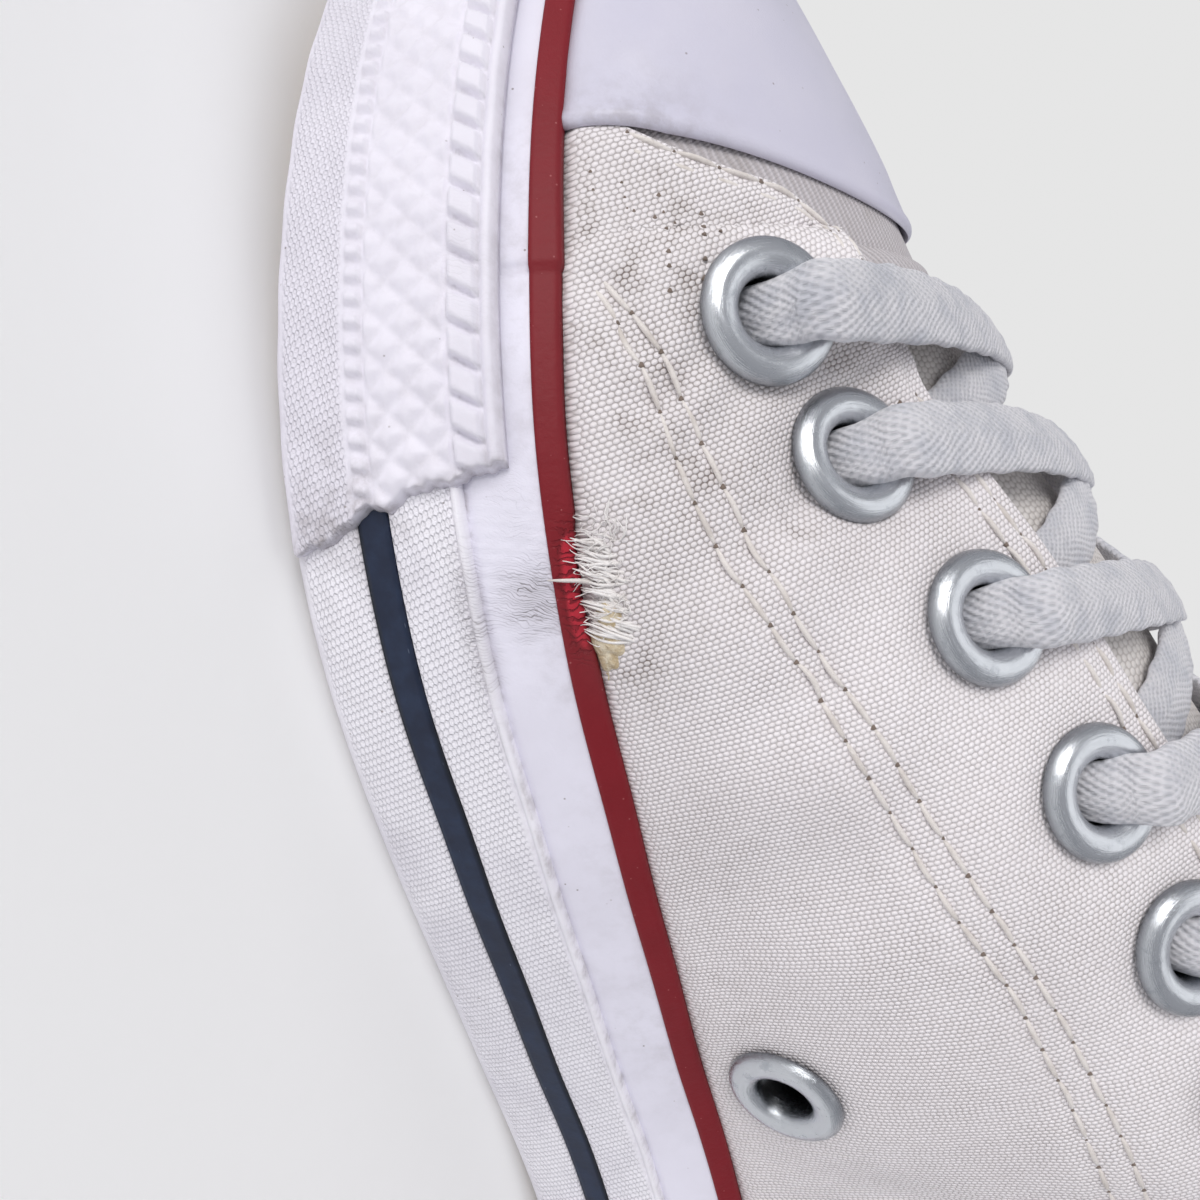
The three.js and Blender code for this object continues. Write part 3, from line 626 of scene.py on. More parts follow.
def red_stripe_rubber():
    """Dark red rubber, torn open at the joint: brighter inside, crossed by small splits."""
    f = Finish("red stripe rubber")
    cloth, place = f.cloth(), f.place()
    x, y, _ = f.split(cloth)
    torn, soil = f.field("torn"), f.field("soil")
    cloud = f.noise(place, 0.3, 3.0)
    ragged = f.noise(place, 1.1, 4.0, 0.65)
    raw = f.band(torn + ragged * 0.5, 0.62, 0.92)
    split = f.band(f.sine((x + y * 0.3 + (f.noise(cloth, 0.9, 3.0) - 0.5) * 2.4) * 9.0), 0.35, 0.95)
    split = split * torn
    base = f.mix(cloud, tint(118, 14, 26), tint(132, 24, 36))
    base = f.mix(raw * 0.85, base, tint(196, 44, 62))
    base = f.mix(split * 0.8, base, tint(84, 14, 26))
    base = f.mix(soil * 0.25, base, tint(110, 60, 62))
    dust = f.band(f.cells(place, 0.9), 0.09, 0.04)
    base = f.mix(dust * 0.45, base, tint(190, 120, 120))
    height = ragged * 0.25 - split * 0.8 + raw * 0.2
    return f.done(base, raw * 0.25 + 0.50 + cloud * 0.1, f.bump(height, 0.00028), Specular_IOR_Level=0.3)


def navy_stripe_rubber():
    """Dark blue rubber stripe with a dusty bloom and small pale scratches."""
    f = Finish("navy stripe rubber")
    place = f.place()
    edge = f.field("edge")
    bloom = f.noise(place, 0.4, 4.0, 0.6)
    scratch = f.band(f.cells(f.stretched(place, 0.3, 1.0, 1.8), 0.8), 0.07, 0.03)
    base = f.mix(f.band(bloom, 0.3, 0.8), tint(18, 30, 54), tint(34, 48, 74))
    base = f.mix(scratch * 0.5, base, tint(120, 130, 150))
    base = f.mix(edge, base, tint(24, 26, 30))
    return f.done(base, bloom * 0.2 + 0.4, f.bump(bloom, 0.00008), Specular_IOR_Level=0.4)


def sole_rubber():
    """Pale brown gum bottom, blackened and scuffed where it meets the ground."""
    f = Finish("gum sole rubber")
    place = f.place()
    ground = f.field("ground")
    scuff = f.noise(f.stretched(place, 0.25, 1.2, 1.0), 0.8, 5.0, 0.65)
    grit = f.noise(place, 3.0, 3.0, 0.6)
    base = f.mix(f.band(f.noise(place, 0.06, 3.0), 0.35, 0.7), tint(176, 140, 98), tint(156, 122, 86))
    base = f.mix(ground * f.band(scuff, 0.35, 0.7) * 0.8, base, tint(82, 70, 60))
    base = f.mix((1.0 - ground) * 0.4, base, tint(70, 60, 52))
    normal = f.bump(grit * 0.5 + scuff * 0.5, 0.00015)
    return f.done(base, 0.62 + scuff * 0.2, normal, Specular_IOR_Level=0.4)


def bright_aluminium():
    """Rolled aluminium: fine turning lines round the flange, hazy scratches and tarnish, a crest left
    bright, painted dark reflection down its slopes and painted shade in the barrel."""
    f = Finish("rolled aluminium")
    cloth, place = f.cloth(), f.place()
    _, y, _ = f.split(cloth)
    turning = f.noise(f.stretched(cloth, 0.5, 26.0, 1.0), 1.0, 3.0, 0.6)
    haze = f.noise(place, 0.9, 4.0, 0.6)
    tarnish = f.band(haze, 0.52, 0.78)
    base = f.mix(tarnish * 0.35 + turning * 0.25, tint(214, 217, 221), tint(140, 147, 156))
    # painted shade: the barrel, low in the section, darkens
    base = f.mix(f.band(y, 2.0, 0.2) * 0.7, base, tint(88, 94, 100))
    # painted dark reflection: the flange darkens from its crest down its slopes
    base = f.mix(f.band(y, 3.5, 2.5) * 0.6, base, tint(92, 98, 106))
    rough = 0.12 + turning * 0.24 + tarnish * 0.10
    return f.done(base, rough, f.bump(turning, 0.00003), Metallic=1.0)


def lace_braid():
    """Flat cotton braid: plaited strands slant both ways from a middle line with painted shade between them,
    soft fibres over them.
    """
    f = Finish("flat cotton lace")
    cloth, place = f.cloth(), f.place()
    x, y, _ = f.split(cloth)
    side = f.math("ABSOLUTE", y)
    wave = (f.noise(cloth, 0.9, 2.0) - 0.5) * 0.5
    plait = f.sine((x * 1.5 + side * 2.0 + wave) * 4.4) * 0.5 + 0.5
    cross = f.sine((x * 1.5 - side * 2.6 + wave) * 4.4) * 0.5 + 0.5
    fibre = f.noise(f.stretched(cloth, 3.0, 9.0, 1.0), 1.0, 4.0, 0.65)
    grey = f.band(f.noise(place, 0.30, 4.0, 0.6), 0.40, 0.72)
    strand = plait * 0.7 + cross * 0.3
    base = f.mix(grey * 0.55, tint(230, 229, 234), tint(184, 188, 200))
    # painted shade: the grooves between the plaited strands darken
    base = f.mix(f.band(strand, 0.45, 0.05) * 0.40, base, tint(160, 164, 172))
    base = f.mix(f.band(fibre, 0.62, 0.8) * 0.4, base, tint(228, 230, 234))
    height = strand * 0.6 + fibre * 0.55
    return f.done(base, 0.9, f.bump(height, 0.00030), Sheen_Weight=0.3, Specular_IOR_Level=0.2)


def sewing_thread(name, colour, dark):
    """Twisted cotton thread, greyed in patches."""
    f = Finish(name)
    place = f.place()
    grey = f.noise(place, 0.4, 4.0, 0.6)
    twist = f.noise(place, 7.0, 2.0)
    base = f.mix(f.band(grey, 0.4, 0.75) * 0.6, colour, dark)
    base = f.mix(f.band(twist, 0.55, 0.7) * 0.3, base, dark)
    return f.done(base, 0.9, f.bump(twist, 0.00006), Sheen_Weight=0.3, Specular_IOR_Level=0.2)


def old_glue():
    """Yellowed dried glue: lumpy, translucent-looking, browner in its hollows."""
    f = Finish("yellowed glue")
    place = f.place()
    lump = f.noise(place, 1.2, 4.0, 0.6)
    fine = f.noise(place, 5.0, 3.0, 0.6)
    base = f.mix(f.band(lump, 0.35, 0.7), tint(196, 176, 142), tint(226, 215, 192))
    base = f.mix(f.band(fine, 0.5, 0.75) * 0.5, base, tint(238, 232, 218))
    return f.done(base, 0.55 + fine * 0.3, f.bump(lump * 0.6 + fine * 0.5, 0.0003), Specular_IOR_Level=0.35)


# ---- dirt that lies at places of the shoe: (x, y, z, reach, strength) ----
SOIL = [
    (78, 40, 31, 9, 0.75), (92, 36, 30, 7, 0.9), (86, 37, 33, 6, 0.8), (66, 40, 33, 7, 0.55),
    (74, 34, 42, 6, 0.8), (74, 40, 32, 4, 0.6), (78, 30, 46, 4, 0.6), (66, 35, 44, 6, 0.6),
    (80, 36, 36, 6, 0.6), (60, 41, 27, 6, 0.5),
    (58, 42, 26, 4, 0.9), (40, 40, 28, 8, 0.3), (72, 43, 6, 6, 0.3), (70, 45, 9, 3, 0.3),
    (132, 0, 12, 18, 0.6), (76, -46, 30, 12, 0.7), (60, -46, 30, 12, 0.6), (100, -40, 12, 22, 0.5),
    (-132, 0, 30, 16, 0.6), (-120, 20, 28, 14, 0.4), (-120, -22, 28, 14, 0.5), (0, -44, 30, 16, 0.3),
    (-60, -36, 28, 16, 0.35), (20, 30, 30, 14, 0.3), (60, 24, 58, 6, 0.4), (20, 25, 78, 8, 0.35),
    (-9, 25, 88, 8, 0.5), (-9, -24, 88, 8, 0.5), (-50, 31, 57, 12, 0.3), (-132, 2, 72, 10, 0.6)]


def soil_at(points):
    """Dirt from 0 to 1: the sum of round fading spots, and a thin film near the ground."""
    value = 0.10 * np.exp(-((points[:, 2] - 1.0) / 5.0) ** 2)
    for x, y, z, reach, strength in SOIL:
        r = np.linalg.norm(points - np.array([x, y, z], float), axis=1)
        value = value + strength * np.exp(-(r / reach) ** 2)
    return np.clip(value, 0, 1)


SCARS = [(63.5, 43, 19.9, 2.7, 2.4, 1.0), (69, 44, 19.5, 6, 3.0, 0.10), (62, 44, 15.2, 6.5, 1.3, 0.55),
         (62, -50, 18, 7, 4, 0.8), (50, -51, 14, 6, 3, 0.5), (88, 40, 19, 5, 2, 0.12)]


def scar_at(points):
    """Bent and cracked rubber from 0 to 1: oval spots, long along the shoe and low in height."""
    value = np.zeros(len(points))
    for x, y, z, long, tall, strength in SCARS:
        lift = points[:, 2] - z
        q = ((points[:, 0] - x) / long) ** 2 + (lift / tall) ** 2 + ((points[:, 1] - y) / 12) ** 2
        value = np.maximum(value, strength * np.exp(-q * 1.2))
    return value


# ---- meshes ----
def piece(name, points, faces, finish, cloth, fields=None, replaces=(), weld=True):
    """One finished object: points in mm round the last, faces a list of arrays of threes or fours.
    Cloth coordinates and fields given for one skin of a shell serve both."""
    faces = [np.asarray(f, np.int64) for f in faces if len(f)]
    loops = np.concatenate([f.ravel() for f in faces])
    sizes = np.concatenate([np.full(len(f), f.shape[1]) for f in faces])
    starts = np.concatenate([[0], np.cumsum(sizes)[:-1]])
    mesh = bpy.data.meshes.new(name)
    mesh.vertices.add(len(points))
    mesh.vertices.foreach_set("co", ((points + SHIFT) * MM).astype(np.float32).ravel())
    mesh.loops.add(len(loops))
    mesh.loops.foreach_set("vertex_index", loops.astype(np.int32))
    mesh.polygons.add(len(sizes))
    mesh.polygons.foreach_set("loop_start", starts.astype(np.int32))
    mesh.update(calc_edges=True)
    flat = np.resize(np.asarray(cloth, float).reshape(-1, 2), (len(points), 2))
    layer = mesh.uv_layers.new(name="cloth")
    layer.data.foreach_set("uv", (flat[loops] * 0.01).astype(np.float32).ravel())
    all_fields = {"soil": soil_at(points), "scar": scar_at(points)}
    all_fields.update(fields or {})
    # painted shade of grooves, given as an extra field, is added into the soil field, which the finishes
    # darken like dirt
    if "shade_and_grime" in all_fields:
        all_fields["soil"] = np.clip(all_fields["soil"] + all_fields.pop("shade_and_grime"), 0, 1)
    for key, values in all_fields.items():
        spread = mesh.attributes.new(key, "FLOAT", "POINT")
        spread.data.foreach_set("value", np.resize(np.asarray(values, np.float32), len(points)))
    if weld:
        work = bmesh.new()
        work.from_mesh(mesh)
        bmesh.ops.remove_doubles(work, verts=work.verts, dist=2e-6)
        bmesh.ops.dissolve_degenerate(work, edges=work.edges, dist=1e-7)
        work.to_mesh(mesh)
        work.free()
    mesh.polygons.foreach_set("use_smooth", np.ones(len(mesh.polygons), bool))
    mesh.update()
    made = bpy.data.objects.new(name, mesh)
    bpy.context.collection.objects.link(made)
    mesh.materials.append(finish)
    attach(made, "root")
    if replaces:
        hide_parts(*replaces)
    return made


def shell(outer, inner, keep=None, rims=(True, True, True, True)):
    """Closed wall between two grids of one size: both skins, and a strip along each kept border.
    rims says for the first row, last row, first column and last column whether the strip is made."""
    m, n = outer.shape[:2]
    keep = np.ones((m - 1, n - 1), bool) if keep is None else keep
    at = np.arange(m * n).reshape(m, n)
    low = m * n
    front = np.stack([at[:-1, :-1], at[1:, :-1], at[1:, 1:], at[:-1, 1:]], -1)[keep]
    pad = np.zeros((m + 1, n + 1), bool)
    pad[1:-1, 1:-1] = keep
    before, after = pad[:-1, 1:-1], pad[1:, 1:-1]
    made = [front, front[:, ::-1] + low]
    edge_a, edge_b = at[:, :-1], at[:, 1:]
    row_ok = np.ones((m, n - 1), bool)
    row_ok[0] = rims[0]
    row_ok[-1] = rims[1]
    column_ok = np.ones((m - 1, n), bool)
    column_ok[:, 0] = rims[2]
    column_ok[:, -1] = rims[3]
    s = after & ~before & row_ok
    made.append(np.stack([edge_a[s], edge_b[s], edge_b[s] + low, edge_a[s] + low], -1))
    s = before & ~after & row_ok
    made.append(np.stack([edge_b[s], edge_a[s], edge_a[s] + low, edge_b[s] + low], -1))
    before, after = pad[1:-1, :-1], pad[1:-1, 1:]
    edge_a, edge_b = at[:-1, :], at[1:, :]
    s = after & ~before & column_ok
    made.append(np.stack([edge_b[s], edge_a[s], edge_a[s] + low, edge_b[s] + low], -1))
    s = before & ~after & column_ok
    made.append(np.stack([edge_a[s], edge_b[s], edge_b[s] + low, edge_a[s] + low], -1))
    points = np.concatenate([outer.reshape(-1, 3), inner.reshape(-1, 3)])
    a, b, d = points[front[:, 0]], points[front[:, 1]], points[front[:, 3]]
    facing = np.cross(b - a, d - a)
    if np.sum(facing * (a - points[front[:, 0] + low])) < 0:
        made = [f[:, ::-1] for f in made]
    return points, made


def tube(rings_of_points, closed=False):
    """Skin over section loops: grid (along, round, 3), round and end caps closed, faces outward."""
    m, n = rings_of_points.shape[:2]
    at = np.arange(m * n).reshape(m, n)
    nxt = np.roll(at, -1, 1)
    made = [np.stack([at[:-1], at[1:], nxt[1:], nxt[:-1]], -1).reshape(-1, 4)]
    points = rings_of_points.reshape(-1, 3)
    if not closed:
        k = np.arange(1, n // 2)
        for row, turn in ((0, 1), (m - 1, -1)):
            loop = at[row]
            cap = np.stack([loop[k - 1], loop[k], loop[n - 1 - k], loop[(n - k) % n]], -1)
            made.append(cap[:, ::turn])
    a, b, c, d = (points[made[0][:, k]] - points.mean(0) for k in range(4))
    volume = np.sum(a * np.cross(b, c)) + np.sum(a * np.cross(c, d))
    if volume < 0:
        made = [f[:, ::-1] for f in made]
    return points, made


def rods(middle, side, up, sides, size):
    """Round section loops along many middle lines: circles of a size, turned in side and up."""
    a = np.linspace(0, 2 * np.pi, sides + 1)[:-1, None]
    return middle[:, :, None] + (side[:, None, None] * np.cos(a) + up[:, None, None] * np.sin(a)) * size


def gathered(parts):
    """One mesh from several (points, faces, cloth): the faces count on from part to part."""
    points, faces, cloth = [], [], []
    count = 0
    for some, shapes, flat in parts:
        points.append(some)
        faces += [f + count for f in shapes]
        cloth.append(flat)
        count += len(some)
    return np.concatenate(points), faces, np.concatenate(cloth)


def holes_clear(grid, radius):
    """Cells of a grid whose middle is at least radius from every eyelet's centre."""
    middle = (grid[:-1, :-1] + grid[1:, 1:]) / 2
    away = np.full(middle.shape[:2], 1e9)
    for centre in HOLE_CENTRES:
        away = np.minimum(away, np.linalg.norm(middle - centre, axis=-1))
    return away > radius


def finer(grid, m, n):
    """Smooth resampling of a grid to m rows and n columns, by Catmull-Rom spans both ways."""

    def along(g, count):
        s = np.linspace(0, len(g) - 1, count)
        i = np.minimum(s.astype(int), len(g) - 2)
        f = (s - i).reshape(-1, *([1] * (g.ndim - 1)))
        p0, p1 = g[np.maximum(i - 1, 0)], g[i]
        p2, p3 = g[i + 1], g[np.minimum(i + 2, len(g) - 1)]
        return 0.5 * (2 * p1 + (p2 - p0) * f + (2 * p0 - 5 * p1 + 4 * p2 - p3) * f ** 2
                      + (3 * p1 - p0 - 3 * p2 + p3) * f ** 3)

    return along(along(grid, m).swapaxes(0, 1), n).swapaxes(0, 1)


def stations(*spans):
    """Joined runs of (count, from, to), each without its last value but the final one."""
    runs = [np.linspace(a, b, n + 1)[:-1] for n, a, b in spans]
    return np.concatenate(runs + [[spans[-1][2]]])


CANVAS = quarter_canvas("worn quarter canvas", tint(252, 247, 250), tint(130, 118, 113))
COLLAR_TAPE = quarter_canvas("collar tape", tint(234, 229, 225), tint(140, 130, 122), 0.5, 0.4, 0.0)
THREAD = sewing_thread("sewing thread", tint(232, 226, 222), tint(188, 178, 170))


# ---- lining, vamp and quarters ----
ROW_LEFT = [(9.60, 0.06), (9.40, 0.19), (9.21, 0.26), (8.98, 0.30), (8.76, 0.33), (8.54, 0.37), (8.32, 0.41),
            (8.07, 0.44), (7.80, 0.47), (7.50, 0.50), (7.18, 0.55), (6.8, 0.58), (6.3, 0.62), (5.8, 0.66)]
ROW_RIGHT = [(9.62, 0.09), (9.40, 0.25), (9.16, 0.34), (8.96, 0.38), (8.74, 0.41), (8.51, 0.43),
             (8.32, 0.46), (8.07, 0.50), (7.77, 0.53), (7.50, 0.56), (7.16, 0.60), (6.8, 0.63),
             (6.3, 0.67), (5.8, 0.71)]


def lining():
    """Inner layer of the upper, from the sole up: a shell between 0.6 and 2.0 below the outer face."""
    half = stations((46, 0, 5), (72, 5, THROAT_ROUND), (12, THROAT_ROUND, THROAT_END),
                    (12, THROAT_END, POLE), (14, POLE, 12))
    u = np.concatenate([half, (ROUND - half[::-1])[1:]])
    t = stations((2, -0.10, 0), (36, 0, 1))
    uu, tt = np.meshgrid(u, t, indexing="ij")
    up = np.clip(tt, 0, 1)

    drop = np.clip(-tt, 0, 1)[..., None] * np.array([0, 0, 208.0])
    outer, inner = skin(uu, up, LINING_OUT) - drop, skin(uu, up, LINING_IN) - drop
    keep = holes_clear(outer, 4.0)
    v = from_heel(u)
    closed = np.minimum(v[:-1], v[1:]) >= THROAT_END - 1e-9
    points, faces = shell(outer, inner, keep, (False, False, True, ~closed))
    cloth = np.stack([outer[..., 0], tt * 60], -1).reshape(-1, 2)
    piece("lining", points, faces, lining_cloth(), cloth, replaces=["upper"])


def vamp():
    """Front cloth of the upper, a shell 0.55 thick, seen as a strip behind the toe cap."""
    half = stations((8, 8.7, THROAT_ROUND), (14, THROAT_ROUND, THROAT_END), (34, THROAT_END, POLE),
                    (20, POLE, 12))
    u = np.concatenate([half, (ROUND - half[::-1])[1:]])
    t = np.linspace(0, 1, 52)
    uu, tt = np.meshgrid(u, t, indexing="ij")
    outer, inner = skin(uu, tt, 0.0), skin(uu, tt, -VAMP_THICK)
    v = from_heel(u)
    closed = np.minimum(v[:-1], v[1:]) >= THROAT_END - 1e-9
    points, faces = shell(outer, inner, holes_clear(outer, 4.0), (True, True, True, ~closed))
    cloth = laid_flat(uu, tt).reshape(-1, 2)
    piece("vamp", points, faces, vamp_cloth(), cloth)


FRONT_EDGE = [(0, 10.17), (0.12, 10.12), (0.25, 10.04), (0.38, 9.97), (0.48, 9.92), (0.54, 9.84),
              (0.62, 9.68), (0.75, 9.50), (0.88, 9.33), (1.0, 9.21)]


def quarter(side):
    """Side panel from the heel seam to its curved front edge, standing 0.8 proud, edges rolled:
    the lift is a quarter circle of the distance from the panel's edge."""
    fine = (150, 190, 68) if side > 0 else (100, 105, 46)
    s = stations((fine[0], 0, 0.70), (fine[1], 0.70, 0.985), (8, 0.985, 1.0))
    t = stations((fine[2], 0, 0.97), (5, 0.97, 1.0))
    ss, tt = np.meshgrid(s, t, indexing="ij")
    uu = through(FRONT_EDGE, tt) * ss
    way = uu if side > 0 else ROUND - uu
    base = canvas(way, tt)
    across = np.linalg.norm(np.diff(base, axis=0), axis=-1)
    to_front = np.zeros(ss.shape)
    to_front[:-1] = np.cumsum(across[::-1], 0)[::-1]
    up = np.linalg.norm(np.diff(base, axis=1), axis=-1)
    to_top = np.zeros(ss.shape)
    to_top[:, :-1] = np.cumsum(up[:, ::-1], 1)[:, ::-1]
    near = np.minimum(np.clip(to_front / 0.9, 0, 1), np.clip(to_top / 0.8, 0, 1))
    roll = rounded(near)
    puff = 0.22 * hump(to_front, 2.2, 1.4) - 0.18 * hump(to_front, 1.2, 0.5)
    puff += 0.20 * hump(to_top, 3.4, 1.6) - 0.16 * hump(to_top, 2.0, 0.5)
    foot_arc = np.concatenate([np.zeros((ss.shape[0], 1)), np.cumsum(up, 1)], 1)
    puff += 0.45 * hump(foot_arc, 1.2, 2.2) * ramp(9.9, uu, 0.3)
    sunk = np.zeros(ss.shape)
    for centre in HOLE_CENTRES:
        r = np.linalg.norm(base - centre, axis=-1)
        sunk = sunk - 0.35 * hump(r, 4.8, 2.2) * (r < 12)
    for row in (ROW_LEFT, ROW_RIGHT):
        keys = finer(np.array(row)[:, None].repeat(2, 1), 140, 2)[:, 0]
        line = canvas(keys[:, 0] if side > 0 else ROUND - keys[:, 0], keys[:, 1])
        off = np.sqrt(np.min([np.sum((base - spot) ** 2, -1) for spot in line], 0))
        sunk = sunk - 0.24 * np.exp(-(off / 0.85) ** 2) + 0.08 * hump(off, 2.2, 1.0)
    lift = roll * PANEL_LIFT + puff + sunk
    outer = skin(way, tt, lift)
    under = np.where(uu > 8.75, 0.03, -VAMP_THICK)
    inner = skin(way, tt, np.minimum(under, lift - 0.05))
    tuck = np.array([0, 0, 1.0])
    outer[:, 0] -= tuck + 0.35 * canvas_out(way[:, 0], tt[:, 0])
    inner[:, 0] -= tuck
    keep = holes_clear(base, 3.9)
    points, faces = shell(outer, inner, keep)
    cloth = laid_flat(way, tt).reshape(-1, 2)
    name = "quarter_medial" if side > 0 else "quarter_lateral"
    piece(name, points, faces, CANVAS, cloth)


def heel_strip():
    """Plain narrow cloth strip over the heel seam, 0.8 thick with rolled long edges."""
    u = np.linspace(-0.32, 0.32, 25)
    t = np.linspace(0.0, 0.97, 60)
    uu, tt = np.meshgrid(u, t, indexing="ij")
    near = np.clip((0.32 - np.abs(uu)) / 0.05, 0, 1)
    roll = rounded(near)
    outer, inner = skin(uu, tt, 0.75 + 0.75 * roll), skin(uu, tt, 0.6)
    points, faces = shell(outer, inner)
    cloth = np.stack([uu * 20, tt * 50], -1).reshape(-1, 2)
    piece("heel_strip", points, faces, COLLAR_TAPE, cloth,
          replaces=["heel_stay"])


def collar_binding():
    """Folded tape over the collar: a half-round section carried along the top edge."""
    u = np.linspace(-5.62, 5.62, 300)
    a = np.linspace(0, 2 * np.pi, 15)[:-1]
    edge = skin(u, np.ones_like(u), 0.0)
    out = canvas_out(u, np.ones_like(u))
    way = unit(np.gradient(edge, axis=0))
    down = unit(np.cross(way, out))
    down = np.where(down[:, 2:] > 0, -down, down)
    wave = 1 + 0.05 * np.sin(np.arange(300) * 0.9)
    across = (np.cos(a)[None] * 1.75 * wave[:, None] - 0.65)[..., None]
    deep = (np.sign(np.sin(a)) * np.abs(np.sin(a)) ** 0.8 * 3.0 + 1.6)[None, :, None]
    rings = edge[:, None] + out[:, None] * across + down[:, None] * deep
    points, faces = tube(rings)
    run = arc_length(edge)
    cloth = np.stack(np.broadcast_arrays(run[:, None], (a * 2.2)[None]), -1).reshape(-1, 2)
    piece("collar_binding", points, faces, COLLAR_TAPE, cloth)


# ---- tongue ----
def tongue_rows():
    """Rows of the tongue's outer face, medial edge to lateral edge, as the solid has them."""
    rows = []
    for v in [10.25, 10.0, 9.8, 9.6, 9.4, 9.2, 8.8, 8.4, 8.0, 7.6, 7.2, 6.8, 6.4, 6.0, 5.75]:
        reach = 9 if v > THROAT_END else 11
        spots = []
        for u in (v, ROUND - v):
            t = np.array([down_from_edge(u, reach), down_from_edge(u, reach / 2), 1.0])
            uu = np.full(3, u)
            spots.append(canvas(uu, t) - 2.7 * canvas_out(uu, t))
        m, l = spots
        width = np.linalg.norm(m[2] - l[2])
        if v > THROAT_END - 0.05:
            row = [m[0], (m[0] + m[1]) / 2, m[1], (m[1] + m[2]) / 2, m[2], (l[1] + l[2]) / 2, l[1],
                   (l[0] + l[1]) / 2, l[0]]
        else:
            lift = 0.20 * width * min(max((THROAT_END - v) / 0.4, 0), 1)
            arch = [m[2] + (l[2] - m[2]) * f + lift * 4 * f * (1 - f) * np.array([0.3, 0, 1])
                    for f in (0.25, 0.5, 0.75)]
            row = [m[0], m[1], m[2], *arch, l[2], l[1], l[0]]
        rows.append(np.array(row))
    last = rows[-1]
    for far, climb in ((8, (-0.80, 0, 0.60)), (16, (-0.74, 0, 0.67)), (23, (-0.70, 0, 0.71))):
        narrow = 0.82 if far > 20 else 0.97
        c = (last[0] + last[8]) / 2
        rows.append(c + (last - c) * narrow + np.array(climb) * far)
    return np.array(rows)


TONGUE = tongue_rows()


def grid_out(grid):
    """Unit normals of a grid surface from its two gradients."""
    return unit(np.cross(np.gradient(grid, axis=0), np.gradient(grid, axis=1)))


def tongue():
    """Canvas tongue: the solid's sheet, 2.0 thick with rounded edges, rippled under each crossing."""
    grid = finer(TONGUE, 150, 60)
    n = grid_out(grid)
    n = n * np.where(n[75:76, 30:31, 2:] < 0, -1, 1)
    r = np.linspace(0, 1, 150)[:, None]
    c = np.linspace(-1, 1, 60)[None]
    ripple = 0.25 * np.sin(r * 44) * (1 - c ** 2) * np.clip(1.2 - r * 1.2, 0, 1)
    ripple = ripple + 0.35 * np.sin(c * 5 + 0.5) * np.clip(r * 4 - 3, 0, 1)
    thin = 0.25 + 0.75 * np.sqrt(np.clip(1 - np.abs(c) ** 14, 0, 1)) * np.sqrt(np.clip(1 - r ** 40, 0, 1))
    middle = grid - n * 1.15
    outer = middle + n * (thin + ripple - 0.2)[..., None]
    inner = middle - n * (thin - ripple)[..., None]
    points, faces = shell(outer, inner)
    cloth = np.stack(np.broadcast_arrays(r * 150, c * 26), -1).reshape(-1, 2)
    cloth_finish = quarter_canvas("tongue canvas", tint(232, 227, 223), tint(138, 128, 120),
                                  0.56, 0.44, 1.57)
    piece("tongue_cloth", points, faces, cloth_finish, cloth,
          replaces=["tongue"])


# ---- rubber round the sole ----
def side_inset(height):
    """Inset of the side wall's outer face at a height."""
    return np.interp(height, SIDE_FACE[:, 1], SIDE_FACE[:, 0])


def waver(u):
    """Hand-laid unevenness of the strips along the outline, in mm: a few slow sines."""
    a = u * np.pi / 12
    return 0.16 * np.sin(5 * a + 1) + 0.10 * np.sin(13 * a + 2) + 0.06 * np.sin(29 * a)


def strip(name, section, finish, count, fields=None, move=None, replaces=()):
    """Rubber strip: a closed section of (inset, height, share of the waver) carried once round
    the outline. Each field is a function of station and height; move shifts inset and height."""
    u = np.linspace(0, ROUND, count + 1)
    section = np.array(section)
    uu = np.repeat(u[:, None], len(section), 1)
    inset, height, edge = (np.repeat(section[None, :, k], len(u), 0) for k in range(3))
    inset = inset - 0.25 * waver(uu)
    height = height + edge * waver(uu + 3)
    if move is not None:
        inset, height = move(uu, inset, height)
    rings = side_point(uu, inset, height)
    points, faces = tube(rings, True)
    run = arc_length(ring(u))
    cloth = np.stack([np.broadcast_to(run[:, None], uu.shape), height], -1).reshape(-1, 2)
    made = {key: value(uu, height).ravel() for key, value in (fields or {}).items()}
    return piece(name, points, faces, finish, cloth, made, replaces)


def face_points(low, high, lift, count, edge_low=0.0, edge_high=0.0):
    """Outer line of a strip between two heights: (inset, height, share of the waver)."""
    h = np.linspace(low, high, count)
    share = edge_low + (edge_high - edge_low) * (h - low) / max(high - low, 1e-9)
    return [(side_inset(y) - lift, y, e) for y, e in zip(h, share)]


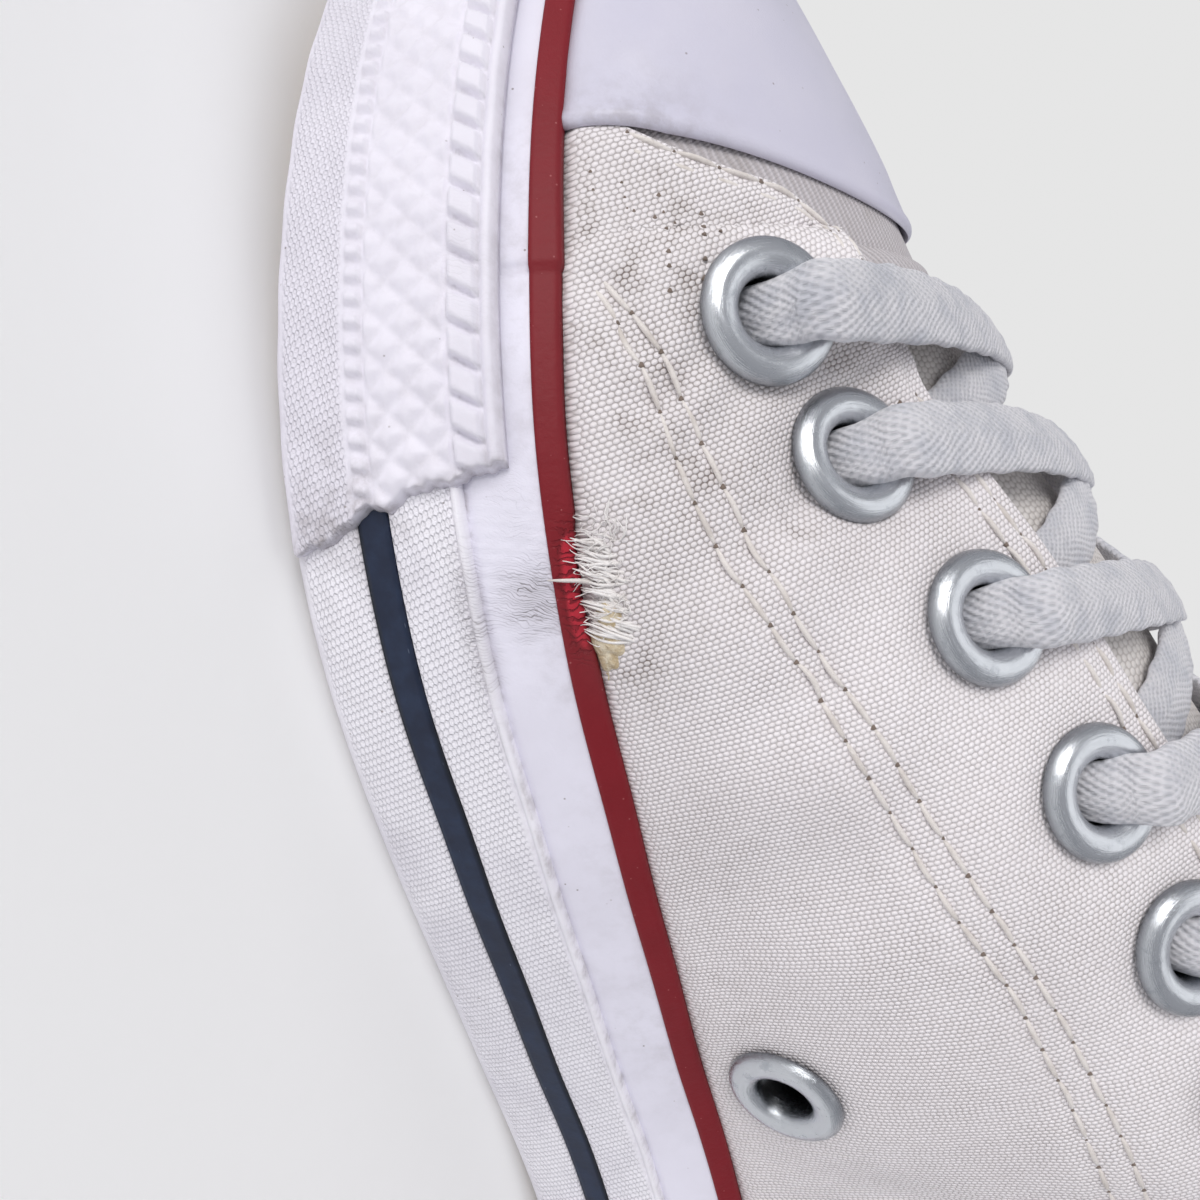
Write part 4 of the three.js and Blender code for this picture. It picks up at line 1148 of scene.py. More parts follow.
def side_strips():
    """The side wall: woven strip with the navy line let into it, smooth band, red stripe on top."""
    woven = rubber("woven side rubber", tint(250, 248, 255), "woven", 0.55)
    smooth = rubber("smooth side rubber", tint(238, 236, 249), "plain", 0.40)
    lower = face_points(0.8, 6.95, 0.0, 12, 0, 0.8)
    groove = [(side_inset(7.1) + 0.45, 7.1, 0.8), (side_inset(9.7) + 0.45, 9.75, 0.8)]
    higher = face_points(9.9, 14.6, 0.0, 10, 0.8, 1)
    lip = [(side_inset(y) + inward, height, 1) for y, inward, height in (
        (14.8, 0.10, 14.8), (14.95, 0.20, 14.95), (15.1, -0.12, 15.08), (15.3, -0.30, 15.3),
        (15.5, -0.22, 15.55), (15.6, 0.10, 15.7), (15.7, 0.9, 15.75))]
    back = [(3.5, 15.6, 0), (3.5, 0.8, 0)]

    # painted shade in the lip's small notch at 14.95 and over its top, tucked under the smooth band
    def lip_painted_shade(uu, height):
        return 0.35 * hump(height, 14.95, 0.12) + 0.5 * ramp(height, 15.6, 0.1)

    def weave_at(uu, height):
        return ramp(height, 1.2, 0.6) * ramp(14.9, height, 0.3)

    strip("woven_side_strip", lower + groove + higher + lip + back, woven, 900,
          {"weave": weave_at, "shade_and_grime": lip_painted_shade}, replaces=["foxing"])
    navy = face_points(7.18, 9.68, 0.02, 7, 0.8, 0.8)
    navy = [(navy[0][0] + 0.22, 7.16, 0.8), *navy, (navy[-1][0] + 0.22, 9.70, 0.8), (2.0, 9.6, 0.8),
            (2.0, 7.3, 0.8)]

    def navy_edge(uu, height):
        return np.clip(np.abs(height - 8.43) * 8 - 9.1, 0, 1) * 0.8

    strip("navy_stripe", navy, navy_stripe_rubber(), 700, {"edge": navy_edge})
    band = [(i + 0.5 * hump(y, 15.5, 0.55), y, e) for i, y, e in face_points(15.2, 21.5, -0.34, 18, 0, 0.5)]
    band = band + [(side_inset(21.7) + 0.55, 21.72, 0.5), (3.0, 21.7, 0.5), (3.4, 15.2, 0)]

    # painted shade in the groove where the smooth band's lower edge meets the woven lip
    def groove_painted_shade(uu, height):
        return 0.9 * hump(height, 15.3, 0.45)

    def band_move(uu, inset, height):
        """A lap joint in the band and swelling where it has cracked."""
        front = np.clip((uu - 9.66) * 60, 0, 1) * np.clip((24 - 9.66 - uu) * 60, 0, 1)
        bent = hump(uu, 8.8, 0.28)
        wrinkle = 0.10 * bent * np.sin(uu * 160 + height * 1.5)
        joint = 0.5 * hump(uu, 9.665, 0.012) * (height < 21.6)
        return inset + 0.10 * front - wrinkle + joint, height

    strip("smooth_side_band", band, smooth, 1500, {"shade_and_grime": groove_painted_shade}, band_move)
    red = face_points(21.62, 23.3, -0.1, 7, 0.5, 1)
    red = [(side_inset(21.6) + 0.45, 21.55, 0.5), (side_inset(21.6) + 0.2, 21.5, 0.5)] + red
    red = red + [(side_inset(23.4) + 0.30, 23.62, 1), (3.0, 23.70, 1), (3.3, 21.6, 0.5)]

    def red_move(uu, inset, height):
        """The stripe's ends overlap in a step, and its torn length is drawn down and ragged."""
        step = np.clip((uu - 9.655) * 90, 0, 1) * np.exp(-np.clip(uu - 9.66, 0, 9) / 0.35)
        torn = torn_at(uu, height)
        ragged = np.sin(uu * 210) * 0.3 + np.sin(uu * 337 + 1) * 0.25
        high = ramp(height, 22.2, 1.6)
        sag = torn * high * (0.5 + ragged * 0.5)
        return inset - 0.30 * step + torn * high * 0.35, height - sag + 0.25 * step * high

    def torn_at(uu, height):
        return np.exp(-((uu - 8.71) / 0.19) ** 4) * ramp(height, 21.6, 1.2)

    strip("red_stripe", red, red_stripe_rubber(), 1500, {"torn": torn_at}, move=red_move)


def bumper_relief(run, h):
    """Height of the bumper's moulding in mm from arc length and height, zone by zone:
    a ladder of small blocks, flat-faced diamonds, slanting blocks, then a plain rounded lip."""
    rung = 0.50 * np.clip(1.9 - np.abs(((run + h * 0.25) / 1.75) % 1 - 0.5) * 5.6, 0, 1)
    rung = rung * ramp(h, 7.6, 0.22) * ramp(9.1, h, 0.2)
    p = np.abs(((run + h - 9.35) / 3.2) % 1 - 0.5)
    q = np.abs(((run - h + 9.35) / 3.2) % 1 - 0.5)
    pillow = 0.40 * np.clip(0.5 - np.maximum(p, q), 0, 0.34) / 0.34
    pillow = pillow * ramp(h, 9.25, 0.25) * ramp(15.75, h, 0.2)
    block = np.clip(3.6 - np.abs(((run + h * 0.62) / 2.62) % 1 - 0.5) * 8.0, 0, 1)
    block = 0.72 * block * ramp(h, 15.9, 0.22) * ramp(18.2, h, 0.22)
    lip = 0.50 * np.sin(ramp(h, 18.3, 1.1) * np.pi) ** 0.6
    return rung + pillow + block + lip


BUMPER_CUT = [(0.9, 8.935), (3, 8.955), (6.5, 9.005), (8, 9.045), (10.3, 9.045), (12, 9.08),
              (14.8, 9.085), (19, 9.115)]


def toe_bumper():
    """Thick embossed strip round the toe: the wall's face lifted by a body of 1.1 and its relief.
    Its inner end is a rough cut whose station follows keys of height and small sines."""
    h = stations((4, 0.9, 2.0), (9, 2.0, 7.5), (60, 7.5, 19.4))
    s = stations((2, 0, 0.0012), (630, 0.0012, 0.9988), (2, 0.9988, 1))
    ss, hh = np.meshgrid(s, h, indexing="ij")
    ragged = through(BUMPER_CUT, hh) + 0.005 * np.sin(hh * 2.3 + 0.5) + 0.003 * np.sin(hh * 6.1)
    other = 15.02 + 0.004 * np.sin(hh * 2.3)
    uu = ragged + (other - ragged) * ss
    base = ring(uu)
    run = np.concatenate([np.zeros((1, hh.shape[1])),
                          np.cumsum(np.linalg.norm(np.diff(base, axis=0), axis=-1), 0)])
    table = np.linspace(0, ROUND, 2401)
    outline = arc_length(ring(table))
    mid = np.interp(uu, table, outline)
    ends = np.minimum(run, run[-1] - run)
    crisp = rounded(np.clip(ends / 0.3, 0, 1))
    relief = bumper_relief(mid, hh) * (0.1 + 0.9 * crisp)
    soft = np.clip(hh - 0.9, 0, 1.1) / 1.1
    body = BUMPER_LIFT * np.sqrt(np.clip(1 - (1 - soft) ** 2, 0.08, 1)) + 0.05 * np.sin(run * 0.9 + hh)
    body = body * np.sqrt(np.clip(1 - (1 - ramp(19.45, hh, 0.35)) ** 2, 0.05, 1))
    body = body * (0.75 + 0.25 * crisp)
    worn = 1 - 0.35 * hump(uu, 12, 0.9)
    face = side_inset(hh)
    outer = side_point(uu, face - 0.25 - body - relief * worn, hh)
    bevel = np.where(ss < 1e-6, 0.018 * ramp(hh, 1.5, 2), 0)
    inner = side_point(uu - bevel, face - 0.08, hh)
    points, faces = shell(outer, inner)
    # soil here: painted shade in the relief's hollows and on the cut ends and their end faces, dirt low near
    # the inner end
    deep = 1 - np.clip(relief / 0.5, 0, 1)
    edge = np.clip(1 - ends / 0.5, 0, 1)
    soil = 0.16 * deep * (hh > 7.6) + 0.35 * edge + 0.45 * np.exp(-ends / 3.0) * (hh < 9) * (run < 60)
    soil = np.clip(soil_at(points) + np.concatenate([soil.ravel(), np.full(hh.size, 0.35)]), 0, 1)
    fine = ramp(hh, 1.9, 0.6) * ramp(7.5, hh, 0.3)
    cloth = np.stack([mid, hh], -1).reshape(-1, 2)
    finish = rubber("toe bumper rubber", tint(236, 233, 243), "woven", 0.52)
    piece("toe_bumper_strip", points, faces, finish, cloth,
          {"soil": soil, "weave": np.concatenate([fine.ravel(), fine.ravel() * 0])}, replaces=["toe_bumper"])


def cap_edge_station(t):
    """Station where the cap's rear edge crosses height t: x = 88.8 + 0.0085 (y - 3)^2."""
    u = np.linspace(9.3, 11.2, 400)
    out = []
    for sign in (1, -1):
        uu, tt = np.meshgrid(u, t, indexing="ij")
        p = canvas(uu if sign > 0 else ROUND - uu, tt)
        over = p[..., 0] - (CAP_REAR + CAP_CURVE * (p[..., 1] - 3) ** 2)
        first = np.argmax(over > 0, axis=0)
        k = np.maximum(first, 1)
        j = np.arange(len(t))
        a, b = over[k - 1, j], over[k, j]
        out.append(u[k - 1] + (u[k] - u[k - 1]) * np.clip(-a / (b - a), 0, 1))
    out[1][-1] = out[0][-1]
    return out


def toe_cap():
    """Smooth rubber cap: the upper's face lifted 1.3, with a rolled lip at the rear edge that
    stands clear of the vamp near the ridge."""
    t = stations((60, 0.012, 1.0))
    inner_edge, outer_edge = cap_edge_station(t)
    s = (1 - np.cos(np.linspace(0, np.pi, 181))) / 2
    s = np.concatenate([[0, 0.00008, 0.0003], s[2:-2], [0.9997, 0.99992, 1]])
    ss, _ = np.meshgrid(s, t, indexing="ij")
    tt = np.broadcast_to(t, ss.shape)
    uu = inner_edge + (ROUND - outer_edge - inner_edge) * ss
    base = canvas(uu, tt)
    step = np.linalg.norm(np.diff(base, axis=0), axis=-1)
    run = np.concatenate([np.zeros((1, len(t))), np.cumsum(step, 0)])
    ends = np.minimum(run, run[-1] - run)
    ends = np.minimum(ends, np.abs(base[..., 0] - CAP_REAR - CAP_CURVE * (base[..., 1] - 3) ** 2))
    roll = rounded(np.clip(ends / 0.7, 0, 1))
    gape = 0.10 * ramp(tt, 0.2, 0.3) * np.exp(-ends / 4.0)
    lip = 0.10 * hump(ends, 0.9, 0.5)
    scuffs = 0.04 * np.sin(base[..., 0] * 0.5) * np.sin(base[..., 1] * 0.45 + 1)
    dent = -0.4 * np.exp(-np.sum((base - np.array([112, 14, 44])) ** 2, -1) / 90)
    clear = 0.10 * np.clip(1 - ends / 2, 0, 1)
    gape = gape + 0.80 * np.clip(1 - tt / 0.24, 0, 1) ** 0.7 * np.exp(-ends / 5.0)
    out = 0.22 + gape + clear + (0.55 + 0.4 * np.clip(ends / 6, 0, 1)) * roll + lip
    out = out + (scuffs + dent) * np.clip(ends / 4, 0, 1)
    n = canvas_out(uu, tt)
    outer = base + n * out[..., None]
    inner = base + n * (0.15 + gape + clear)[..., None]
    outer[:, 0, 2] -= 1.1
    inner[:, 0, 2] -= 1.1
    points, faces = shell(outer, inner, None, (True, True, True, False))
    cloth = np.stack([run, tt * 40], -1).reshape(-1, 2)
    # painted shade: the cap's white rubber is set darker than the side rubber, standing for the shade on the
    # cap
    finish = rubber("toe cap rubber", tint(206, 204, 220), "plain", 0.34)
    piece("toe_cap_rubber", points, faces, finish, cloth,
          replaces=["toe_cap"])


# ---- bottom and insole ----
def across_sheet(inset, rows, columns):
    """Plan grid of a sole sheet: straight lines from the inner side to the outer side."""
    a = (1 - np.cos(np.linspace(0, np.pi, rows))) / 2
    a = 12 * (0.35 * a + 0.65 * np.linspace(0, 1, rows))
    f = np.linspace(0, 1, columns)
    m, l = side_point(a, inset, 0)[:, None], side_point(ROUND - a, inset, 0)[:, None]
    return m + (l - m) * f[None, :, None]


def outsole():
    """Bottom: cross grooves between broad lugs, small diamonds on the lugs, worn smooth at
    ball and heel; each is a trough in height."""
    grid = across_sheet(4.0, 320, 70)
    x, y = grid[..., 0], grid[..., 1]
    level = sole_level(x)
    groove = np.zeros(x.shape)
    for i in range(12):
        middle = 106 - 14 * i if i < 7 else -62 - 14 * (i - 7)
        half = 33 if i < 7 else 24
        side = -3 if i < 7 else 0
        cut = ramp(1.75, np.abs(x - middle), 0.5) * ramp(half + 0.2, np.abs(y - side), 0.6)
        groove = np.maximum(groove, cut)
    tread = np.clip(np.sin((x + y) * 1.15) * np.sin((x - y) * 1.15) * 3, 0, 1)
    wear = 1 - hump(x, 62, 26) * hump(y, -2, 26) - 0.8 * hump(x, -112, 20) * hump(y, 0, 24)
    rim = np.linalg.norm(grid[:, :1, :2] - grid[:, -1:, :2], axis=-1)
    low = grid.copy()
    low[..., 2] = level + groove * 1.2 + 0.3 * tread * np.clip(wear, 0.1, 1) * (1 - groove) * (rim > 8)
    high = grid.copy()
    high[..., 2] = level + 2.7
    points, faces = shell(low, high)
    cloth = grid[..., :2].reshape(-1, 2)
    ground = np.concatenate([(1 - groove).ravel(), np.ones(x.size)])
    piece("outsole_rubber", points, faces, sole_rubber(), cloth,
          {"ground": ground}, replaces=["outsole"])


def insole():
    """Cloth-faced insole, dished under heel and ball, with a soft raised rim."""
    grid = across_sheet(6.7, 150, 44)
    x, y = grid[..., 0], grid[..., 1]
    level = sole_level(x)
    heel = hump(x, -104, 24) * hump(y, 0, 20)
    ball = hump(x, 62, 22) * hump(y, -2, 24)
    toes = sum(hump(x, 92 - 0.75 * (k - 2) ** 2, 6) * hump(y, 22 - 11 * k, 5) for k in range(5))
    low, high = grid.copy(), grid.copy()
    low[..., 2] = level + 3.3
    high[..., 2] = level + 6.2 - 0.9 * heel - 0.7 * ball - 0.35 * toes
    points, faces = shell(high, low)
    cloth = grid[..., :2].reshape(-1, 2)
    pressed = np.clip(heel + 0.9 * ball + 0.7 * toes, 0, 1).ravel()
    piece("insole_cloth", points, faces, insole_cloth(), cloth,
          {"pressed": pressed}, replaces=["insole"])


# ---- eyelets ----
def frame_at(u, t):
    """Point, normal, along and up vectors of the upper at a station."""
    n = canvas_out(u, t)
    along = unit(canvas(u + 1e-3, t) - canvas(u - 1e-3, t))
    return canvas(u, t), n, along, np.cross(n, along)


def eyelets():
    """Rolled aluminium eyelets: a barrel and a flange whose section is half an ellipse, turned."""
    a = np.linspace(0, np.pi, 17)
    flange = [(4.08 - 1.46 * np.cos(x), 0.75 + 1.20 * np.sin(x) ** 0.85) for x in a]
    section = np.array([(2.62, -2.2), *flange, (5.35, 0.62), (3.3, 0.60), (3.2, 0.2), (3.2, -1.9),
                        (3.5, -2.2), (3.2, -2.4)])
    turn = np.linspace(0, 2 * np.pi, 49)
    names, parts = [], []
    rng = np.random.default_rng(7)
    for k, (u, t) in enumerate(HOLES):
        p, n, along, up = frame_at(np.array(u), np.array(t))
        p = p + n * float(slack(np.array(u), np.array(t)))
        push = rng.uniform(0, 6.28)
        r = section[None, :, 0] * (1 + 0.012 * np.cos(2 * turn + push))[:, None]
        h = section[None, :, 1] + 0.05 * np.cos(turn + push)[:, None] + 0.12
        way_out = along * np.cos(turn)[:, None, None] + up * np.sin(turn)[:, None, None]
        rings = p + n * h[..., None] + way_out * r[..., None]
        cloth = np.stack(np.broadcast_arrays((turn * 4)[:, None], section[None, :, 1] + 1.6), -1)
        parts.append((*tube(rings, True), cloth.reshape(-1, 2)))
        names.append(f"vent_eyelet_{k - 13}" if k > 13 else
                     f"eyelet_{'medial' if k < 7 else 'lateral'}_{k % 7 + 1}")
    points, faces, cloth = gathered(parts)
    piece("eyelets", points, faces, bright_aluminium(), cloth, replaces=names)


# ---- laces ----
def smooth_path(points, count):
    """Catmull-Rom curve through the points at even steps of arc length, the arc lengths, and
    those of the given points."""
    fine = finer(np.repeat(np.array(points)[:, None], 2, 1), 401, 2)[:, 0]
    run = arc_length(fine)
    s = np.linspace(0, run[-1], count)
    keys = np.interp(np.linspace(0, 400, len(points)), np.arange(401), run)
    return np.stack([np.interp(s, run, fine[:, k]) for k in range(3)], -1), s, keys


def strap(path_points, ups, wide, thick, seed):
    """Flat lace: a rounded flat section carried on the path, faced by the ups; its width and
    thickness follow keys along the path, and it is ruffled where it is drawn together."""
    count = 104
    path, s, keys = smooth_path(path_points, count)
    up = unit(np.stack([np.interp(s, keys, np.array(ups)[:, k]) for k in range(3)], -1))
    way = unit(np.gradient(path, axis=0))
    side = unit(np.cross(up, way))
    face = np.cross(way, side)
    a = np.linspace(0, 2 * np.pi, 27)[:-1]
    w = np.interp(s, keys, wide)[:, None] / 2
    h = np.interp(s, keys, thick)[:, None] / 2
    bunch = np.clip((6.4 / 2 - w) / 1.2, 0, 1)
    rng = np.random.default_rng(seed)
    shift = rng.uniform(0, 6.28, 3)
    c, d = np.cos(a)[None], np.sin(a)[None]
    across = w * np.sign(c) * np.abs(c) ** 0.75
    fold = (0.22 * bunch + 0.05) * np.sin(across * 3.4 + s[:, None] * 0.5 + shift[0])
    fold = fold + 0.05 * np.sin(s[:, None] * 2.1 + across + shift[1])
    deep = h * np.sign(d) * np.abs(d) ** 0.7 * (1 + 0.12 * np.cos(across / w * 3.0)) + fold
    edge_wave = 0.10 * np.sin(s[:, None] * 1.3 + shift[2])
    rings = path[:, None] + side[:, None] * (across + edge_wave)[..., None] + face[:, None] * deep[..., None]
    points, faces = tube(rings)
    cloth = np.stack(np.broadcast_arrays(s[:, None], across), -1).reshape(-1, 2)
    return points, faces, cloth


def tongue_mid(v):
    """Crown and flanks of the tongue's row nearest station v, interpolated."""
    vs = np.array([10.25, 10.0, 9.8, 9.6, 9.4, 9.2, 8.8, 8.4, 8.0, 7.6, 7.2, 6.8, 6.4, 6.0, 5.75])
    rows = TONGUE[:len(vs)].reshape(len(vs), -1)
    return np.array([np.interp(-v, -vs, rows[:, k]) for k in range(rows.shape[1])]).reshape(9, 3)


def laces():
    """Six crossings: each strap comes out of an eyelet, runs over the throat's edge and the
    tongue, and goes under the other edge to the next eyelet."""
    parts = []
    for i in range(6):
        for sign in (1, -1):
            p, n, _, _ = frame_at(*np.array(HOLES[i if sign > 0 else 7 + i]))
            row_a, row_b = tongue_mid(EYELET_V[i]), tongue_mid(EYELET_V[i + 1])
            crown_up = unit(np.array([0.42, 0, 0.9]))
            lift = 2.1 if sign > 0 else 1.1
            far = (5, 6, 7) if sign > 0 else (3, 2, 1)
            crown = row_a[4] * 0.25 + row_b[4] * 0.75 + crown_up * (lift + 0.9)
            flank = row_a[far[0]] * 0.05 + row_b[far[0]] * 0.95 + crown_up * (lift * 0.8)
            end = row_b[far[1]] + crown_up * 0.4 + np.array([-1.5, 0, 0])
            beyond = row_b[far[2]] + np.array([-2.5, 0, 0.2])
            away = crown - p
            go = unit(away - n * (away @ n))
            rim = p + n * 2.95 + go * 4.9
            over = rim * 0.52 + crown * 0.48 + n * 1.5 + crown_up * 0.9
            path = [p - n * 3.0 - go * 1.3, p - n * 0.5 - go * 0.2, p + n * 1.75 + go * 1.9, rim, over,
                    crown, flank, end, beyond]
            slant = unit(n - go * 0.9)
            ups = [slant, slant, unit(n - go * 0.6), n, unit(n + crown_up)] + [crown_up] * 4
            wide = [4.3, 4.7, 5.5, 6.1, 6.4, 6.5, 6.5, 6.5, 6.0]
            thick = [2.4, 2.7, 2.7, 2.3, 1.7, 1.5, 1.4, 0.9, 0.6]
            parts.append(strap(path, ups, wide, thick, 10 * i + sign + 2))
    points, faces, cloth = gathered(parts)
    piece("lace_braid", points, faces, lace_braid(), cloth,
          replaces=[f"lace_cross_{i + 1}" for i in range(6)], weld=False)


# ---- sewing ----
def seam_line(stations_ut, gap, out):
    """Even places along a line of stations on the upper: ends of each stitch, gap apart."""
    keys = np.array(stations_ut, float)
    fine = np.linspace(0, len(keys) - 1, 600)
    u = np.interp(fine, np.arange(len(keys)), keys[:, 0])
    t = np.interp(fine, np.arange(len(keys)), keys[:, 1])
    p = canvas(u, t)
    run = arc_length(p)
    n = max(int(run[-1] / gap), 2)
    s = np.linspace(0, run[-1], n + 1)
    uu, tt = np.interp(s, run, u), np.interp(s, run, t)
    return skin(uu, tt, out), canvas_out(uu, tt)


def edge_row(back, t_low, t_high):
    """Stations that follow the quarter's front edge, back by a share of a station."""
    t = np.linspace(t_low, t_high, 24)
    return np.stack([through(FRONT_EDGE, t) - back, t], -1)


def top_row(down, first, last, count):
    """Stations that follow the throat's edge or the collar, down mm below it."""
    return np.array([(v, down_from_edge(v, down)) for v in np.linspace(first, last, count)])


def lock_stitches():
    """Sewing: every stitch is a short thread that rises from one needle hole and dips into the
    next; its height is half a sine and its section six-sided."""
    lines = []
    for side in (1, -1):
        for row, out in ((ROW_LEFT, 0.74), (ROW_RIGHT, 0.74), (edge_row(0.035, 0.15, 0.8), 0.80),
                         (edge_row(0.085, 0.12, 0.75), 0.80), (top_row(2.0, 8.95, 5.75, 20), 0.80),
                         (top_row(4.0, 8.95, 5.75, 20), 0.85), (top_row(5.4, 5.6, 0.35, 26), 0.80)):
            keys = np.array(row, float)
            if side < 0:
                keys = np.stack([ROUND - keys[:, 0], keys[:, 1]], -1)
            lines.append(seam_line(keys, 3.5, out))
        t = np.linspace(0.05, 0.93, 20)
        lines.append(seam_line(np.stack([np.full(20, 0.27 * side), t], -1), 3.4, 1.45))
    start = np.concatenate([p[:-1] for p, _ in lines])
    stop = np.concatenate([p[1:] for p, _ in lines])
    up = np.concatenate([n[:-1] for _, n in lines])
    rng = np.random.default_rng(3)
    side = unit(np.cross(up, stop - start))
    bend = rng.normal(0, 0.10, len(start))[:, None, None]
    f = np.linspace(0.03, 0.97, 7)[None, :, None]
    rise = np.sin(f * np.pi) ** 0.6
    middle = (start[:, None] * (1 - f) + stop[:, None] * f + up[:, None] * (rise * 0.34 - 0.24)
              + side[:, None] * bend * np.sin(f * np.pi))
    fat = (0.235 * np.sin(np.clip(f, 0.05, 0.95) * np.pi) ** 0.35)[..., None]
    join_tubes("stitches", rods(middle, side, up, 6, fat), THREAD)
    holes = np.concatenate([p for p, _ in lines])
    ups = np.concatenate([n for _, n in lines])
    needle_holes(holes, ups, rng)


def join_tubes(name, rings, finish):
    """One mesh of many like tubes: rings has the shape (tubes, along, round, 3)."""
    k, m, n = rings.shape[:3]
    offset = (np.arange(k) * m * n)[:, None, None]
    made = [(f[None] + offset).reshape(-1, f.shape[1]) for f in tube(rings[0])[1]]
    piece(name, rings.reshape(-1, 3), made, finish, np.zeros(2), weld=False)


def needle_holes(places, ups, rng):
    """Needle holes as painted shade: small low domes in grime colours where the holes' shade falls, their
    rims ragged by a seeded share.
    """
    more_p, more_n = [], []
    for u0, t0, u1, t1, count in ((10.0, 0.05, 9.62, 0.10, 9), (10.02, 0.12, 9.60, 0.18, 9),
                                  (9.98, 0.20, 9.56, 0.26, 8), (9.92, 0.28, 9.58, 0.33, 7),
                                  (9.86, 0.08, 9.72, 0.34, 7)):
        f = np.linspace(0, 1, count) + rng.normal(0, 0.03, count)
        u, t = u0 + (u1 - u0) * f, np.clip(t0 + (t1 - t0) * f, 0.02, 0.98)
        more_p.append(skin(u, t, 0.80))
        more_n.append(canvas_out(u, t))
    places = np.concatenate([places] + more_p)
    ups = np.concatenate([ups] + more_n)
    along = unit(np.cross(ups, np.array([0.3, 0.2, 1.0])))
    across = np.cross(ups, along)
    size = rng.uniform(0.15, 0.27, len(places))[:, None, None, None]
    a = np.linspace(0, 2 * np.pi, 9)[:-1]
    levels = np.array([(1.0, -0.10), (0.8, 0.02), (0.3, 0.05)])
    spread = levels[None, :, None, 0, None] * size * (1 + 0.25 * np.cos(3 * a + 1))[None, None, :, None]
    middle = places[:, None] + ups[:, None] * (levels[None, :, 1:] - 0.02)
    rings = rods(middle, along, across, 8, spread)
    # painted shade of the holes, with grime: dark brown domes stand where the cloth is pierced
    shade_and_grime = sewing_thread("needle hole grime", tint(128, 114, 105), tint(92, 82, 74))
    join_tubes("needle_holes", rings, shade_and_grime)


# ---- damage at the inner joint ----
def hair(start, stop, lift, thick, rng, sway=0.5):
    """Fine threads from start to stop, bowed by lift and swayed sideways by a seeded amount."""
    count = len(start)
    f = np.linspace(0, 1, 9)[None, :, None]
    way = unit(stop - start)
    up = np.broadcast_to(np.array([0.1, 0.97, 0.2]), way.shape)
    side = unit(np.cross(way, up))
    wob = rng.normal(0, sway, (count, 1, 1))
    phase = rng.uniform(0, 6.28, (count, 1, 1))
    bow = np.sin(f * np.pi)
    middle = (start[:, None] * (1 - f) + stop[:, None] * f + up[:, None] * lift[:, None, None] * bow
              + side[:, None] * (wob * bow + 0.15 * sway * np.sin(f * 9 + phase)))
    return rods(middle, side, up, 4, (thick * (1.05 - 0.75 * f ** 3))[..., None])


def frayed_edge():
    """Worn-through cloth above the red stripe: a mat of cotton threads lying up the wall, bunched
    in sheaves, their ends hanging ragged over the rubber, and a few that stand away."""
    rng = np.random.default_rng(11)
    n = 120
    u = rng.uniform(8.56, 8.875, n)
    low = skin(u, np.full(n, 0.006), 0.95)
    high = skin(u - 0.045 + rng.normal(0, 0.02, n), rng.uniform(0.055, 0.115, n), 0.74)
    reach = rng.uniform(-0.9, 1.3, n)[:, None]
    stop = low + np.array([0.10, 0.12, -1.0]) * reach + rng.normal(0, 0.10, (n, 3)) + np.array([0, 0.3, 0])
    yarns = hair(high, stop, rng.uniform(0.1, 0.8, n), 0.135, rng, 0.16)
    k = 150
    u = rng.uniform(8.55, 8.92, k)
    t = rng.uniform(0.0, 0.10, k)
    start = skin(u, t, 0.9)
    away = start + rng.normal(0, 0.9, (k, 3)) * np.array([0.7, 0.4, 1]) + np.array([0.2, 0.45, -0.7])
    fibres = hair(start, away, rng.uniform(0.1, 0.6, k), 0.05, rng, 0.4)
    m = 7
    start = skin(rng.uniform(8.82, 8.88, m), rng.uniform(0.07, 0.10, m), 0.75)
    away = start + np.array([2.3, 0.5, 0.3]) + rng.normal(0, 0.5, (m, 3))
    sprig = hair(start, away, rng.uniform(0.2, 0.5, m), 0.09, rng, 0.4)
    join_tubes("frayed_threads", np.concatenate([yarns, fibres, sprig]), sewing_thread(
        "frayed cotton", tint(246, 243, 242), tint(214, 206, 200)))
    a = skin(np.array([8.72]), np.array([0.02]), 1.1)
    b = side_point(np.array([8.76]), side_inset(21.4) - 0.30, 21.2)
    loose = hair(a, b, np.array([0.5]), 0.17, rng, 0.15)
    join_tubes("loose_thread", loose, THREAD)


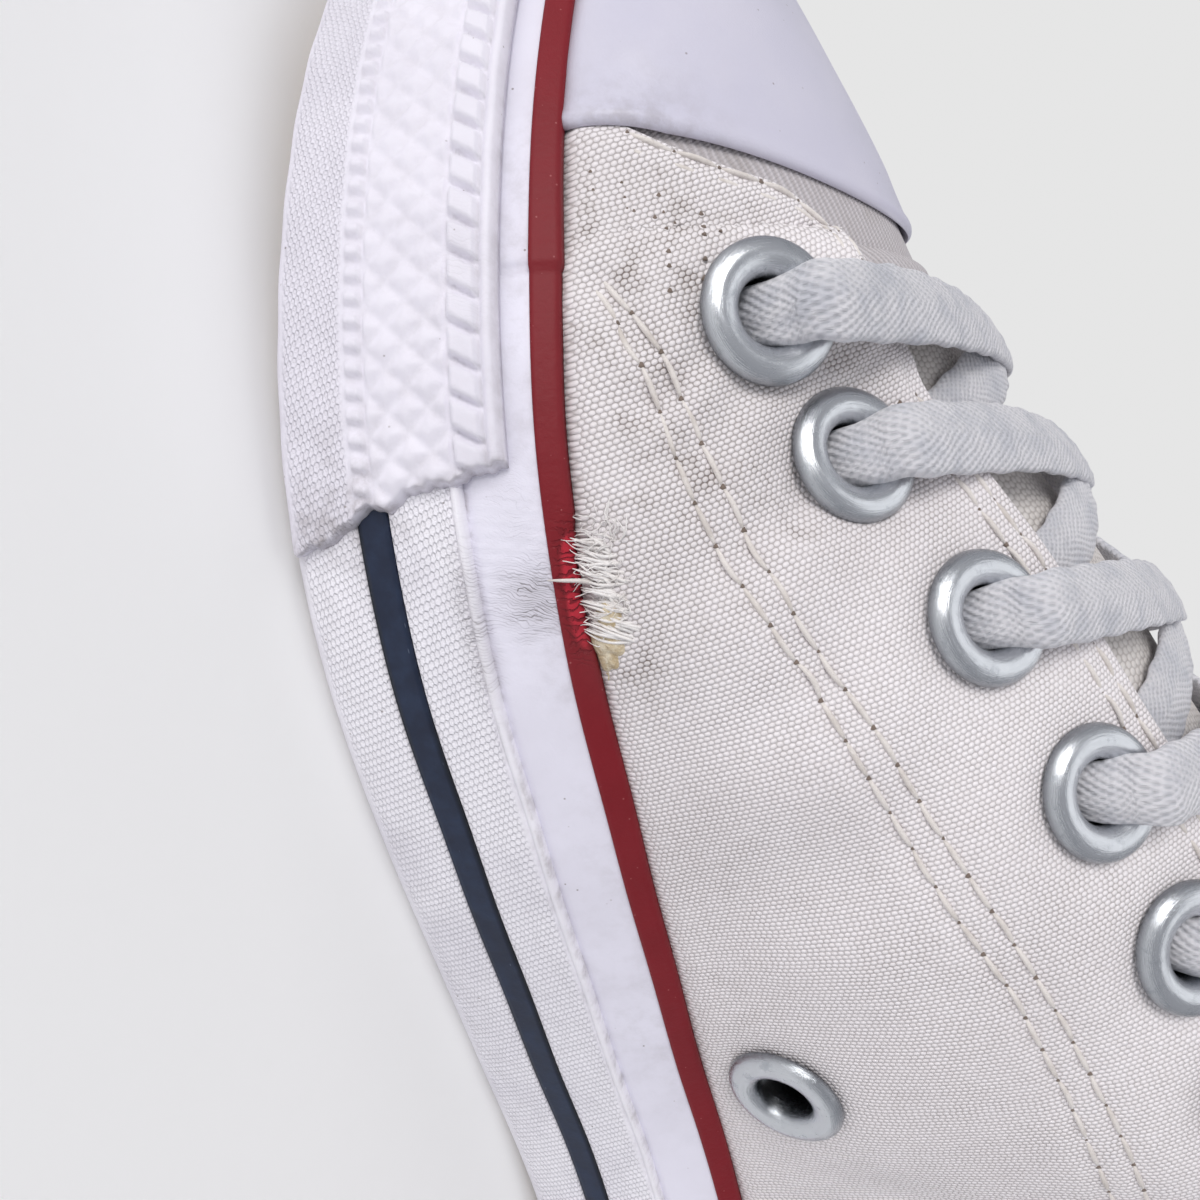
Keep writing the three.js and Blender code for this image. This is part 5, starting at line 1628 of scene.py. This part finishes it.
def glue_beads():
    """Lumps of old glue: flattened balls with a lumpy radius, grid closed at both poles."""
    spots = [(8.615, 0.040, 1.5, 1.15, 1.3), (8.535, 0.022, 1.7, 1.1, 1.7), (8.48, 0.016, 1.5, 0.9, 1.2),
             (8.54, 0.085, 1.5, 0.35, 1.6), (8.42, 0.008, 1.3, 0.5, 0.7)]
    a = np.linspace(0, 2 * np.pi, 49)
    b = np.linspace(0, np.pi, 25)
    aa, bb = np.meshgrid(a, b, indexing="ij")
    parts = []
    for u, t, long, deep, tall in spots:
        p, n, along, up = frame_at(np.array(u), np.array(t))
        lump = 1 + 0.07 * np.sin(3 * aa + u * 9) * np.sin(bb) + 0.05 * np.sin(5 * aa + 1) * np.sin(2 * bb)
        x, y, z = (part[..., None] * lump[..., None] for part in (
            np.sin(bb) * np.cos(aa) * long, np.sin(bb) * np.sin(aa) * tall, np.cos(bb) * deep))
        grid = p + n * 0.7 + along * x + up * y + n * z
        at = np.arange(grid.shape[0] * grid.shape[1]).reshape(grid.shape[:2])
        quads = np.stack([at[:-1, :-1], at[:-1, 1:], at[1:, 1:], at[1:, :-1]], -1).reshape(-1, 4)
        points = grid.reshape(-1, 3)
        a0, b0, c0 = points[quads[:, 0]], points[quads[:, 1]], points[quads[:, 2]]
        if np.sum((a0 - p) * np.cross(b0 - p, c0 - p)) < 0:
            quads = quads[:, ::-1]
        parts.append((points, [quads], np.zeros((1, 2))))
    points, faces, _ = gathered(parts)
    piece("glue_beads", points, faces, old_glue(), np.zeros(2))


lining()
vamp()
quarter(1)
quarter(-1)
heel_strip()
collar_binding()
tongue()
side_strips()
toe_bumper()
toe_cap()
outsole()
insole()
eyelets()
laces()
lock_stitches()
frayed_edge()
glue_beads()


# ---- floor ----
def floor():
    """Plain pale floor under the sole, faintly mottled."""
    mesh = bpy.data.meshes.new("floor")
    r = 6.0
    mesh.from_pydata([(-r, -r, 0), (r, -r, 0), (r, r, 0), (-r, r, 0)], [], [(0, 1, 2, 3)])
    made = bpy.data.objects.new("floor", mesh)
    bpy.context.collection.objects.link(made)
    f = Finish("pale floor")
    cloud = f.noise(f.place(), 0.004, 2.0)
    mesh.materials.append(f.done(f.mix(cloud, (0.80, 0.80, 0.80, 1), (0.83, 0.83, 0.83, 1)), 0.8,
                                 Emission_Color=(1, 1, 1, 1), Emission_Strength=0.16))


floor()
